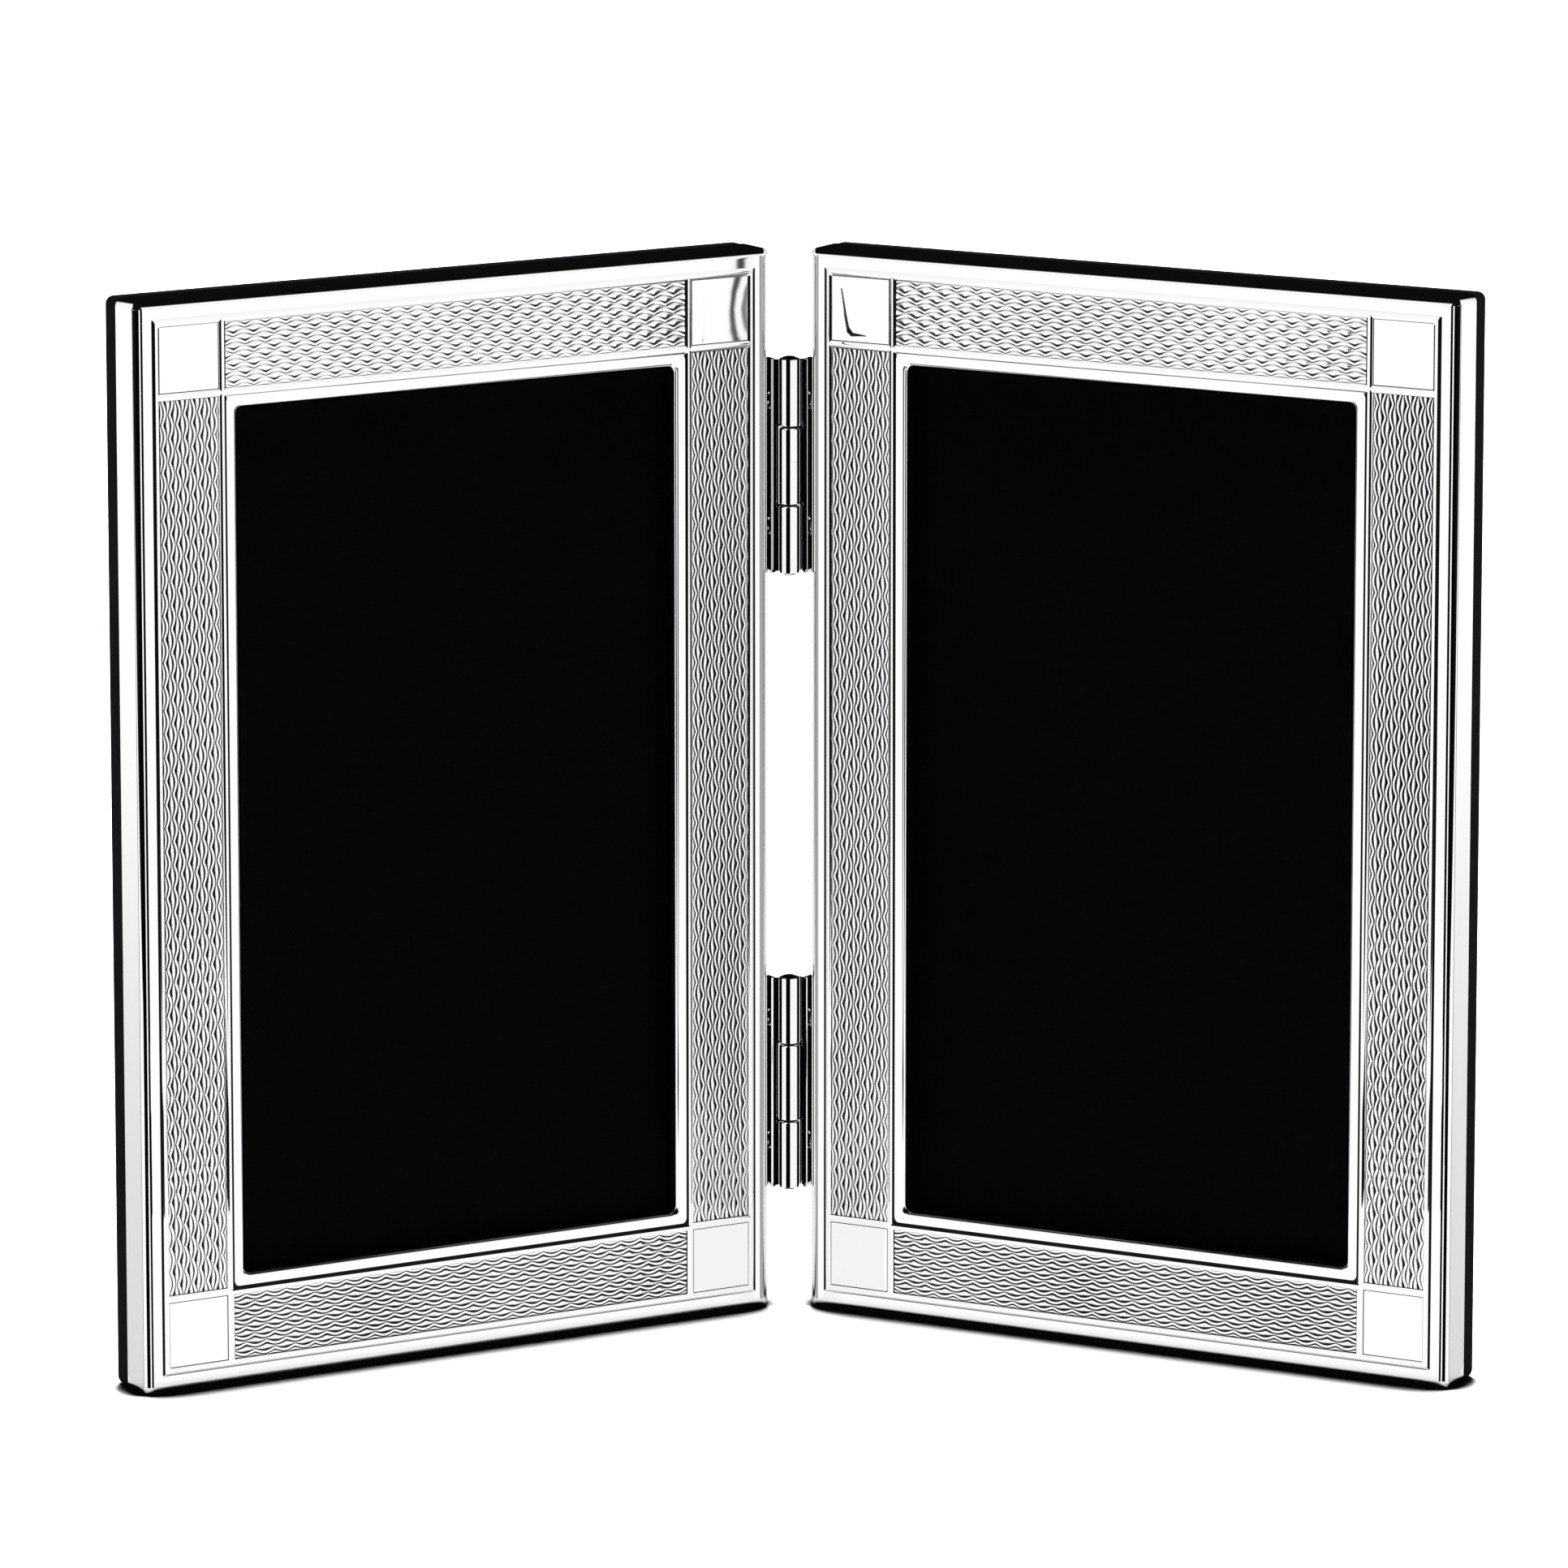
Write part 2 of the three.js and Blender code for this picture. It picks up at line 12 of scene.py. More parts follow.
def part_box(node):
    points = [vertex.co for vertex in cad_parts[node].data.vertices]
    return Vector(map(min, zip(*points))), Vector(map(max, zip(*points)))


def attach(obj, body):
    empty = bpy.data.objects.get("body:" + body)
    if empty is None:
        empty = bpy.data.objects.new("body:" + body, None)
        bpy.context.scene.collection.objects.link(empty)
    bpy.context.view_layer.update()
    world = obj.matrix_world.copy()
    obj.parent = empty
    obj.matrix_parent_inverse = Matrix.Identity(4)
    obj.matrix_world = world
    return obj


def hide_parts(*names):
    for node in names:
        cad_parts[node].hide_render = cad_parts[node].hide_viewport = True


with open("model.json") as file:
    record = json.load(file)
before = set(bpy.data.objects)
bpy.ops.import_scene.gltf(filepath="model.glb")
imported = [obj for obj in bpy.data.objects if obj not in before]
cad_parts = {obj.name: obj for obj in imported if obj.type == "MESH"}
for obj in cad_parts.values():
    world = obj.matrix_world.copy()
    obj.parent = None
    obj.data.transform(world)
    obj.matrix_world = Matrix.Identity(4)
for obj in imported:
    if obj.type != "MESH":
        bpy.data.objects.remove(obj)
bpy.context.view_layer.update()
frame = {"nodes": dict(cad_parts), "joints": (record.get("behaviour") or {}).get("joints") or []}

# Wooden core of each leaf
# Strips of pale beech glued into a frame and rebated for the glass. The silver sheet is pressed over
# it, so it shows only as a thin edge in the gap before the velvet rim.

LEAVES = {"left": 1, "right": -1}  # which way the hinge lies along the leaf's own X
BEECH_PALE = (0.55, 0.37, 0.21, 1)
BEECH_DARK = (0.34, 0.20, 0.10, 1)
BEECH_ROUGHNESS = (0.6, 0.25)  # least, and what the grain adds to it
GRAIN_SCALE = (420, 420, 18)
GRAIN_RELIEF = 0.00005
JOINTS = {joint["name"]: joint for joint in frame["joints"]}


class Wire:
    """An output socket. Sums on it add Math nodes to its tree."""

    def __init__(self, nodes, socket):
        self.nodes = nodes
        self.socket = socket

    def math(self, operation, *terms):
        return self.nodes.add("ShaderNodeMath", {"operation": operation}, dict(enumerate(terms)))

    def __add__(self, other):
        return self.math("ADD", self, other)

    def __sub__(self, other):
        return self.math("SUBTRACT", self, other)

    def __rsub__(self, other):
        return self.math("SUBTRACT", other, self)

    def __mul__(self, other):
        return self.math("MULTIPLY", self, other)

    def __truediv__(self, other):
        return self.math("DIVIDE", self, other)

    def eased(self, low, high):
        """Runs smoothly from 0 where this wire is at one value to 1 where it is at another."""
        sockets = {"Value": self, "From Min": low, "From Max": high}
        return self.nodes.add("ShaderNodeMapRange", {"interpolation_type": "SMOOTHSTEP"}, sockets)

    __radd__ = __add__
    __rmul__ = __mul__


class Nodes:
    """A node tree. One method adds any node: its settings first, then its sockets' values or wires."""

    def __init__(self, tree):
        self.tree = tree

    def add(self, kind, settings=None, sockets=None, output=0):
        node = self.tree.nodes.new(kind)
        for name, value in (settings or {}).items():
            setattr(node, name, value)
        for key, value in (sockets or {}).items():
            if isinstance(value, Wire):
                self.tree.links.new(value.socket, node.inputs[key])
            else:
                node.inputs[key].default_value = value
        return Wire(self, node.outputs[output]) if node.outputs else None

    def colour_mix(self, factor, first, second):
        mix_sockets = {0: factor, 6: first, 7: second}
        return self.add("ShaderNodeMix", {"data_type": "RGBA"}, mix_sockets, output=2)

    def noise(self, place, scale, detail=2, roughness=0.5):
        sockets = {"Vector": place, "Scale": scale, "Detail": detail, "Roughness": roughness}
        return self.add("ShaderNodeTexNoise", {}, sockets)

    def bump(self, height, distance):
        return self.add("ShaderNodeBump", {}, {"Height": height, "Distance": distance})


def new_material(name):
    material = bpy.data.materials.new(name)
    material.use_nodes = True
    material.node_tree.nodes.clear()
    nodes = Nodes(material.node_tree)
    place = nodes.add("ShaderNodeTexCoord", output="Object")
    return material, nodes, place


def set_surface(nodes, sockets):
    surface = nodes.add("ShaderNodeBsdfPrincipled", {}, sockets)
    nodes.add("ShaderNodeOutputMaterial", {}, {"Surface": surface})


def set_mottled(nodes, cloud, tones, roughness, relief, fixed=None):
    """A surface whose colour and roughness follow a noise, over a relief of (height, distance)."""
    least, spread = roughness
    set_surface(nodes, {
        "Base Color": nodes.colour_mix(cloud, *tones),
        "Roughness": least + spread * cloud,
        "Normal": nodes.bump(*relief),
        **(fixed or {}),
    })


def leaf_axes(side):
    """The leaf's own X and Y in the shared frame: across it, and from its face to its back."""
    back = Vector(JOINTS[f"{side}_button_top_turn"]["axis"]).normalized()
    return back.cross(Vector((0, 0, 1))), back


def beech(side):
    material, nodes, place = new_material(f"{side}_beech")
    across, _ = leaf_axes(side)
    turn = -math.atan2(across.y, across.x)
    grain_place = nodes.add("ShaderNodeMapping", {}, {
        "Vector": place, "Rotation": (0, 0, turn), "Scale": GRAIN_SCALE,
    })
    grain = nodes.noise(grain_place, 1.0, detail=4, roughness=0.65)
    set_mottled(nodes, grain, (BEECH_DARK, BEECH_PALE), BEECH_ROUGHNESS, (grain, GRAIN_RELIEF))
    return material


def dress(node, material):
    frame["nodes"][node].material_slots[0].material = material


for side in LEAVES:
    dress(f"{side}_core_frame", beech(side))

# Silver facing of each leaf
# One sheet of polished silver pressed over the core: side walls, a folded edge, a plain border, two low
# beads with barely crowned blocks in the corners between them, and a lip turned in at the opening.

MM = 0.001
SIDE_DEPTH = 5.6
SHEET = 0.5
EDGE_BENDS = ((0.25, 40, 5), (3.1, 15, 4), (1.1, 35, 8))  # radius, degrees and steps, from wall to face
REAR_ROUND = 0.2
FACE_WIDTH = 15.75
OUTER_BEAD = 3.2
INNER_BEAD = 13.5
BEAD_HALF_WIDTH = 0.55
BEAD_HEIGHT = 0.12
BAND_SINK = 0.15
BAND_FLOOR = 0.25
SHEET_BACK = 0.65
LIP_RADIUS = 0.6
LIP_DEPTH = 1.6
FACE_CORNER_RADIUS = 1.2
BEAD_CORNER_RADIUS = 0.3
SIGHT_CORNER_RADIUS = 1.0
BLOCK_TUCK = 0.1
BLOCK_SINK = 0.03
BLOCK_RISE = 0.04
BLOCK_SHARES = (-1, -0.955, -0.5, 0, 0.5, 0.955, 1)
# Flat beside each bead over which its painted dark reflection fades.
PAINTED_LINE_REACH = 0.1
PAINTED_REFLECTION_EDGES = (0.08, 0.5)
PAINTED_REFLECTION_PATCHES = 0.3
BEAD_PAINTED_REFLECTION = {  # loops painted with dark reflection from a bead's outer foot and from its inner foot, and how dark
    (OUTER_BEAD, "upright"): ((3, 1), (1, 0.3)),
    (OUTER_BEAD, "top"): ((0, 0), (1, 0.45)),
    (OUTER_BEAD, "bottom"): ((0, 0), (1, 0.9)),
    (INNER_BEAD, "upright"): ((1, 0.3), (3, 1)),
    (INNER_BEAD, "top"): ((0, 0), (2, 0.35)),
    (INNER_BEAD, "bottom"): ((0, 0), (5, 0.85)),
}
CORNER_STEPS = 8
ARC_STEPS = 10
REAR_STEPS = 4
BEAD_STEPS = 10
SHARP_ANGLE = 18
EASE = 0.06  # length at each end of a straight that keeps it flat beside a round
SILVER_BRIGHT = (0.955, 0.955, 0.96, 1)
SILVER_WARM = (0.93, 0.925, 0.91, 1)
# Painted reflection: the dark that stands in for dark surroundings reflected in the beads, blocks and
# furrows.
PAINTED_REFLECTION_DARK = (0.012, 0.011, 0.010, 1)
POLISH_ROUGHNESS = 0.02
CLOUD_ROUGHNESS = 0.03
PAINTED_REFLECTION_ROUGHNESS = 0.25
CLOUD_SCALE = 40
FINE_SCALE = 1600
FINE_SHARE = 0.004
DENT_SCALE = 28
DENT_DEPTH = 0.00002


def silver():
    """Bright silver, painted dark where the mesh marks it: painted reflection along beads, block edges and
    furrows.
    """
    material, nodes, place = new_material("polished_silver")
    cloud = nodes.noise(place, CLOUD_SCALE, detail=3)
    fine = nodes.noise(place, FINE_SCALE)
    dents = nodes.noise(place, DENT_SCALE, detail=1) + FINE_SHARE * fine
    tarnish = nodes.add("ShaderNodeAttribute", {"attribute_name": "tarnish"}, output="Fac")
    dark = (tarnish + PAINTED_REFLECTION_PATCHES * (cloud - 0.5)).eased(*PAINTED_REFLECTION_EDGES)
    clean = nodes.colour_mix(cloud, SILVER_WARM, SILVER_BRIGHT)
    set_surface(nodes, {
        "Base Color": nodes.colour_mix(dark, clean, PAINTED_REFLECTION_DARK),
        "Metallic": 1.0,
        "Roughness": POLISH_ROUGHNESS + CLOUD_ROUGHNESS * cloud + PAINTED_REFLECTION_ROUGHNESS * dark,
        "Normal": nodes.bump(dents, DENT_DEPTH),
    })
    return material


def leaf_reach(side):
    """The silver's lowest and highest reach along the leaf's own X and Y, in metres."""
    points = [vertex.co for vertex in frame["nodes"][f"{side}_facing"].data.vertices]
    reaches = []
    for axis in leaf_axes(side):
        along = [point.dot(axis) for point in points]
        reaches.append((min(along), max(along)))
    return reaches


def matrix_of(*columns):
    """The matrix that has three axes and an origin as its columns."""
    return Matrix([[column[row] for column in columns] for row in range(3)]).to_4x4()


def place_matrix(side, origin):
    across, back = leaf_axes(side)
    return matrix_of(across * MM, back * MM, Vector((0, 0, MM)), origin)


def leaf_place(side):
    """From a leaf's own millimetres to the shared frame. Its origin is at the foot of its face's middle."""
    across, back = leaf_axes(side)
    (low, high), (_, rear) = leaf_reach(side)
    return place_matrix(side, across * (low + high) / 2 + back * (rear - SIDE_DEPTH * MM))


(leaf_low, leaf_high), _ = leaf_reach("left")
LEAF_WIDTH = (leaf_high - leaf_low) / MM
LEAF_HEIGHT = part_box("left_facing")[1].z / MM


def arc(centre, radius, start, end, steps=ARC_STEPS):
    """Points on an arc, by angles in degrees."""
    angles = [math.radians(start + (end - start) * step / steps) for step in range(steps + 1)]
    return [(centre[0] + radius * math.cos(a), centre[1] + radius * math.sin(a)) for a in angles]


def outline(width, height, radius):
    """A rounded rectangle in X and Z about the origin, with its straights held flat to their ends."""
    points = []
    for quarter, (sign_x, sign_z) in enumerate(((1, -1), (1, 1), (-1, 1), (-1, -1))):
        centre = (sign_x * (width / 2 - radius), sign_z * (height / 2 - radius))
        start = math.radians(90 * (quarter - 1))
        corner = arc(centre, radius, 90 * (quarter - 1), 90 * quarter, CORNER_STEPS)
        before = Vector(corner[0]) - EASE * Vector((-math.sin(start), math.cos(start)))
        after = Vector(corner[-1]) - EASE * Vector((math.cos(start), math.sin(start)))
        points += [tuple(before), *corner, tuple(after)]
    return points


def around(ring):
    """Each vertex of a ring with the next."""
    return zip(ring, ring[1:] + ring[:1])


def join_rings(shape, first, second):
    """Adds the faces between two rings of as many vertices."""
    for (a, b), (c, d) in zip(around(first), around(second)):
        shape.faces.new((a, b, d, c))


def add_loops(shape, loops, ends):
    """Joins loops of points, each as long as the next. Its ends are "joined", "capped" or "open"."""
    rings = [[shape.verts.new(point) for point in loop] for loop in loops]
    following = rings[1:] + rings[:1] if ends == "joined" else rings[1:]
    for first, second in zip(rings, following):
        join_rings(shape, first, second)
    if ends == "capped":
        shape.faces.new(list(reversed(rings[0])))
        shape.faces.new(rings[-1])
    return rings


def add_moulding(shape, section, corner_radius):
    """Carries a closed section of (inset, depth) points round the leaf. Its corners depend on the inset."""
    loops = []
    for inset, depth in section:
        ring = outline(LEAF_WIDTH - 2 * inset, LEAF_HEIGHT - 2 * inset, corner_radius(inset))
        loops.append([(x, depth, z + LEAF_HEIGHT / 2) for x, z in ring])
    return add_loops(shape, loops, "joined")


def new_sheet():
    shape = bmesh.new()
    shape.verts.layers.float.new("tarnish")
    return shape


# Paints dark reflection into a layer of the sheet's vertices, as dark as the amount.
def paint_reflection(shape, vertices, amount=1):
    tarnish = shape.verts.layers.float["tarnish"]
    for vertex in vertices:
        vertex[tarnish] = amount


def facing_corner(inset):
    """The facing's corner radius: round at its edge and at the lip, crisp at the beads."""
    if inset > INNER_BEAD + BEAD_HALF_WIDTH + PAINTED_LINE_REACH / 2:
        return SIGHT_CORNER_RADIUS
    return max(FACE_CORNER_RADIUS - inset, BEAD_CORNER_RADIUS)


def folded_edge():
    """The edge between side wall and face as (inset, depth) points, one arc after another."""
    path = [(0, 0)]
    heading = 0
    for radius, degrees, steps in EDGE_BENDS:
        inset, depth = path[-1]
        for step in range(1, steps + 1):
            now = heading + math.radians(degrees) * step / steps
            across = radius * (math.cos(heading) - math.cos(now))
            forward = radius * (math.sin(now) - math.sin(heading))
            path.append((inset + across, depth - forward))
        heading += math.radians(degrees)
    face_depth = path[-1][1]
    return [(inset, depth - face_depth) for inset, depth in path]


def bead_arc(middle):
    """A bead's low round section, from its outer foot to its inner foot."""
    radius = (BEAD_HALF_WIDTH ** 2 + BEAD_HEIGHT ** 2) / (2 * BEAD_HEIGHT)
    lean = math.degrees(math.asin(BEAD_HALF_WIDTH / radius))
    return arc((middle, radius - BEAD_HEIGHT), radius, 270 - lean, 270 + lean, BEAD_STEPS)


def run_of(vertex, reach):
    """Which run of a loop round the leaf a vertex is on."""
    if abs(vertex.co.x) > reach - EASE:
        return "upright"
    return "top" if vertex.co.z > LEAF_HEIGHT / 2 else "bottom"


def add_sheet(shape):
    edge = folded_edge()
    fold_width = edge[-1][0]
    section = [
        *arc((REAR_ROUND, SIDE_DEPTH - REAR_ROUND), REAR_ROUND, 90, 180, REAR_STEPS),
        (0, edge[0][1] + EASE),
        *edge,
        (fold_width + EASE, 0),
        (OUTER_BEAD - BEAD_HALF_WIDTH - PAINTED_LINE_REACH, 0),
        *bead_arc(OUTER_BEAD),
        (OUTER_BEAD + BEAD_HALF_WIDTH, BAND_FLOOR),
        (INNER_BEAD - BEAD_HALF_WIDTH, BAND_FLOOR),
        *bead_arc(INNER_BEAD),
        (INNER_BEAD + BEAD_HALF_WIDTH + PAINTED_LINE_REACH, 0),
        (FACE_WIDTH - LIP_RADIUS - EASE, 0),
        *arc((FACE_WIDTH - LIP_RADIUS, LIP_RADIUS), LIP_RADIUS, 270, 360),
        (FACE_WIDTH, LIP_DEPTH),
        (FACE_WIDTH - SHEET, LIP_DEPTH),
        (FACE_WIDTH - SHEET, SHEET_BACK),
        (fold_width, SHEET_BACK),
        (SHEET, fold_width),
        (SHEET, SIDE_DEPTH),
    ]
    rings = add_moulding(shape, section, facing_corner)
    # Painted reflection: dark lines along the beads' feet, darker on the bottom run than on the top.
    for (bead, run), (outer, inner) in BEAD_PAINTED_REFLECTION.items():
        first = section.index(bead_arc(bead)[0])
        bead_rings = rings[first:first + BEAD_STEPS + 1]
        for from_foot, (count, amount) in ((bead_rings, outer), (bead_rings[::-1], inner)):
            for ring in from_foot[:count]:
                reach = max(vertex.co.x for vertex in ring)
                paint_reflection(shape, [vertex for vertex in ring if run_of(vertex, reach) == run], amount)


def block_depth(across, up):
    """Depth of a corner block's barely crowned face at a place from -1 to 1 each way."""
    return BLOCK_SINK - BLOCK_RISE * (1 - across ** 2) * (1 - up ** 2)


def add_corner_block(shape, centre_x, centre_z):
    half = (INNER_BEAD - OUTER_BEAD) / 2 - BEAD_HALF_WIDTH + BLOCK_TUCK
    grid = [
        [
            shape.verts.new((centre_x + half * u, block_depth(u, w), centre_z + half * w))
            for w in BLOCK_SHARES
        ]
        for u in BLOCK_SHARES
    ]
    for row, next_row in zip(grid, grid[1:]):
        for k in range(len(row) - 1):
            shape.faces.new((row[k], next_row[k], next_row[k + 1], row[k + 1]))
    rim = [row[0] for row in grid] + grid[-1][1:] + [row[-1] for row in reversed(grid[:-1])]
    rim += list(reversed(grid[0][1:-1]))
    # Painted reflection: a dark line round the block's edge.
    paint_reflection(shape, rim)
    foot = [shape.verts.new((vertex.co.x, SHEET_BACK - SHEET / 4, vertex.co.z)) for vertex in rim]
    join_rings(shape, foot, rim)
    shape.faces.new(list(reversed(foot)))


def add_cross_bead(shape, start, end):
    """A straight bead across the band, from one (x, z) place to another."""
    run = (Vector(end) - Vector(start)).normalized()
    side = Vector((run.y, -run.x))
    foot = BAND_FLOOR + SHEET / 4
    section = [*bead_arc(0), (BEAD_HALF_WIDTH, foot), (-BEAD_HALF_WIDTH, foot)]
    loops = []
    for place in (Vector(start), Vector(end)):
        points = [place + side * across for across, _ in section]
        loops.append([(point.x, depth, point.y) for point, (_, depth) in zip(points, section)])
    for ring in add_loops(shape, loops, "capped"):
        # Painted reflection: a dark line at each foot of the bead.
        paint_reflection(shape, (ring[0], ring[BEAD_STEPS]))


def corners():
    """The four corners of a leaf, with the signs that lead from each towards the leaf's middle."""
    for sign_x, x in ((1, -LEAF_WIDTH / 2), (-1, LEAF_WIDTH / 2)):
        for sign_z, z in ((1, 0), (-1, LEAF_HEIGHT)):
            yield x, z, sign_x, sign_z


def finish_piece(name, shape, place, material, body, nodes, sharp_angle=SHARP_ANGLE):
    """Puts a shape into the shared frame as a piece on a body, in place of CAD nodes."""
    mesh = bpy.data.meshes.new(name)
    bmesh.ops.recalc_face_normals(shape, faces=shape.faces)
    shape.to_mesh(mesh)
    shape.free()
    mesh.transform(place)
    mesh.shade_smooth()
    mesh.set_sharp_from_angle(angle=math.radians(sharp_angle))
    mesh.materials.append(material)
    piece = bpy.data.objects.new(name, mesh)
    bpy.context.scene.collection.objects.link(piece)
    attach(piece, body)
    if nodes:
        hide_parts(*nodes)


POLISHED_SILVER = silver()
for side in LEAVES:
    sheet = new_sheet()
    add_sheet(sheet)
    block_inset = (OUTER_BEAD + INNER_BEAD) / 2
    for x, z, sign_x, sign_z in corners():
        add_corner_block(sheet, x + sign_x * block_inset, z + sign_z * block_inset)
        inner = (x + sign_x * INNER_BEAD, z + sign_z * INNER_BEAD)
        add_cross_bead(sheet, (x + sign_x * OUTER_BEAD, inner[1]), inner)
        add_cross_bead(sheet, (inner[0], z + sign_z * OUTER_BEAD), inner)
    finish_piece(
        f"{side}_silver_facing", sheet, leaf_place(side), POLISHED_SILVER,
        f"{side}_leaf", [f"{side}_facing"],
    )

# Engine-turned bands
# Between the beads the silver is cut on a rose engine: sixteen sharp furrows run along each bar in pairs,
# each pair scalloped out of step with the next, so that polished ridges swell and close between them.
# Dark reflections are painted in the furrows, and painted shade where a swollen ridge falls to its outer
# one.

FURROWS = 16
RIDGE_STEPS = 4
WAVE_STEPS = 12
PAIR_SHIFT = 5 / WAVE_STEPS
SWING = 0.9
CUSP_SOFTNESS = 0.02
FLOOR_NUDGE = 0.01
SHADE_STEPS = 2
SWELL_EDGES = (1.1, 1.6)  # ridge widths, in pitches, between which its outer side gets painted shade
CUTS = {
    "upright": {"Waves": 38, "Swing": SWING, "Slope": 0.22, "Line Steps": 1.0, "Shade": 0.45},
    "level": {"Waves": 23, "Swing": -SWING, "Slope": 0.4, "Line Steps": 2.0, "Shade": 0.0},
}
BAR_PAINTED_REFLECTION = {  # how dark the furrows' painted reflection is, and how much darker at their cusps, bar by bar
    "upright": ((0.95, 0.0), (0.95, 0.0)),
    "level": ((0.78, 0.0), (0.3, 0.6)),
}
BAND_SHARP_ANGLE = 24
BAND_SKIRT = 0.2
BAND_WIDTH = INNER_BEAD - OUTER_BEAD - 2 * BEAD_HALF_WIDTH
TURNING_INPUTS = {
    "Float": ("Length", "Width", "Swing", "Pair Shift", "Slope", "Line Steps", "Furrow Paint", "Dash", "Shade"),
    "Int": ("Furrows", "Waves"),
    "Material": ("Material",),
}


def new_tree(name, inputs):
    """A geometry tree whose inputs are named by kind, their keys, its nodes and the inputs' wires."""
    tree = bpy.data.node_groups.new(name, "GeometryNodeTree")
    keys = {}
    for kind, labels in inputs.items():
        for label in labels:
            socket = tree.interface.new_socket(label, in_out="INPUT", socket_type=f"NodeSocket{kind}")
            keys[label] = socket.identifier
    tree.interface.new_socket("Made", in_out="OUTPUT", socket_type="NodeSocketGeometry")
    nodes = Nodes(tree)
    return tree, keys, nodes, {label: nodes.add("NodeGroupInput", output=label) for label in keys}


def end_tree(nodes, geometry, material):
    real = nodes.add("GeometryNodeRealizeInstances", {}, {"Geometry": geometry})
    coloured = nodes.add("GeometryNodeSetMaterial", {}, {"Geometry": real, "Material": material})
    nodes.add("NodeGroupOutput", {}, {"Made": coloured})


def engine_turning():
    """The tree that cuts one bar, with its length along X, its width along Y and its ridges up Z."""
    tree, keys, nodes, size = new_tree("engine_turning", TURNING_INPUTS)
    ridges = size["Furrows"] + 1
    pitch = size["Width"] / size["Furrows"]
    sheet_of_points = nodes.add("GeometryNodeMeshGrid", {}, {
        "Size X": size["Waves"],
        "Size Y": ridges,
        "Vertices X": size["Waves"] * WAVE_STEPS + 1,
        "Vertices Y": ridges * RIDGE_STEPS + 1,
    })
    place = nodes.add("GeometryNodeInputPosition")
    wave_place = nodes.add("ShaderNodeSeparateXYZ", {}, {0: place}, "X") + size["Waves"] / 2
    ridge_place = nodes.add("ShaderNodeSeparateXYZ", {}, {0: place}, "Y") + ridges / 2
    ridge = ridge_place.math("FLOOR", ridge_place + FLOOR_NUDGE)
    share = ridge_place - ridge

    def furrow(index):
        """Where a furrow lies across the bar, in pitches, and its scallop. The bar's edges are straight."""
        free = index - 0.5
        held = free.math("MINIMUM", free.math("MAXIMUM", free, 0), size["Furrows"])
        slack = held - free
        wavy = 1 - slack.math("MINIMUM", slack.math("ABSOLUTE", slack) * 2, 1)
        pair = (index - 1) / 2
        odd = pair.math("FLOORED_MODULO", pair.math("FLOOR", pair), 2)
        phase = (wave_place + odd * size["Pair Shift"]) * math.pi
        sine = phase.math("SINE", phase)
        scallop = sine.math("SQRT", sine * sine + CUSP_SOFTNESS)
        return held + wavy * size["Swing"] * (scallop - 0.5), scallop

    near, near_scallop = furrow(ridge)
    far, _ = furrow(ridge + 1)
    gap = far - near
    across = (near + gap * share) * pitch
    height = gap * pitch * size["Slope"] * share * (1 - share)
    along = (wave_place / size["Waves"] - 0.5) * size["Length"]
    step = share * RIDGE_STEPS
    # Painted reflection in the furrows, and painted shade on a swollen ridge's outer side.
    line = size["Furrow Paint"] + size["Dash"] * (1 - near_scallop)
    in_furrow = line * (1 - step.math("MINIMUM", step / size["Line Steps"], 1))
    by_furrow = 1 - step.math("MINIMUM", step / SHADE_STEPS, 1)
    swelling = 1 - ridge.math("FLOORED_MODULO", ridge, 2)
    shaded = size["Shade"] * swelling * gap.eased(*SWELL_EDGES) * by_furrow.math("CEIL", by_furrow)
    furrow_paint = shaded.math("MAXIMUM", in_furrow, shaded)
    furrows_painted = nodes.add("GeometryNodeStoreNamedAttribute", {"data_type": "FLOAT", "domain": "POINT"}, {
        "Geometry": sheet_of_points, "Name": "tarnish", "Value": furrow_paint,
    })
    cut_place = nodes.add("ShaderNodeCombineXYZ", {}, {"X": along, "Y": across, "Z": height})
    cut = nodes.add("GeometryNodeSetPosition", {}, {"Geometry": furrows_painted, "Position": cut_place})
    end_tree(nodes, cut, size["Material"])
    return tree, keys


def run_tree(tree, keys, values, base=None):
    """The plain mesh that a tree makes from named values, on a base mesh if it needs one."""
    maker = bpy.data.objects.new("maker", base or bpy.data.meshes.new("maker"))
    bpy.context.scene.collection.objects.link(maker)
    modifier = maker.modifiers.new("tree", "NODES")
    modifier.node_group = tree
    for name, value in values.items():
        modifier[keys[name]] = value
    made = maker.evaluated_get(bpy.context.evaluated_depsgraph_get())
    mesh = bpy.data.meshes.new_from_object(made)
    maker.modifiers.remove(modifier)
    bpy.data.objects.remove(maker)
    return mesh


def close_under(shape):
    """Gives an open bar its side walls and its flat underside."""
    edge = [e for e in shape.edges if e.is_boundary]
    walls = bmesh.ops.extrude_edge_only(shape, edges=edge)["geom"]
    for vertex in (v for v in walls if isinstance(v, bmesh.types.BMVert)):
        vertex.co.z = -BAND_SKIRT
    bmesh.ops.edgeloop_fill(shape, edges=[e for e in shape.edges if e.is_boundary])


def bar_place(inward, middle):
    """Lays a bar on the face, with its width running inwards from its outer edge's middle."""
    front = Vector((0, -1, 0))
    return matrix_of(inward.cross(front), inward, front, middle)


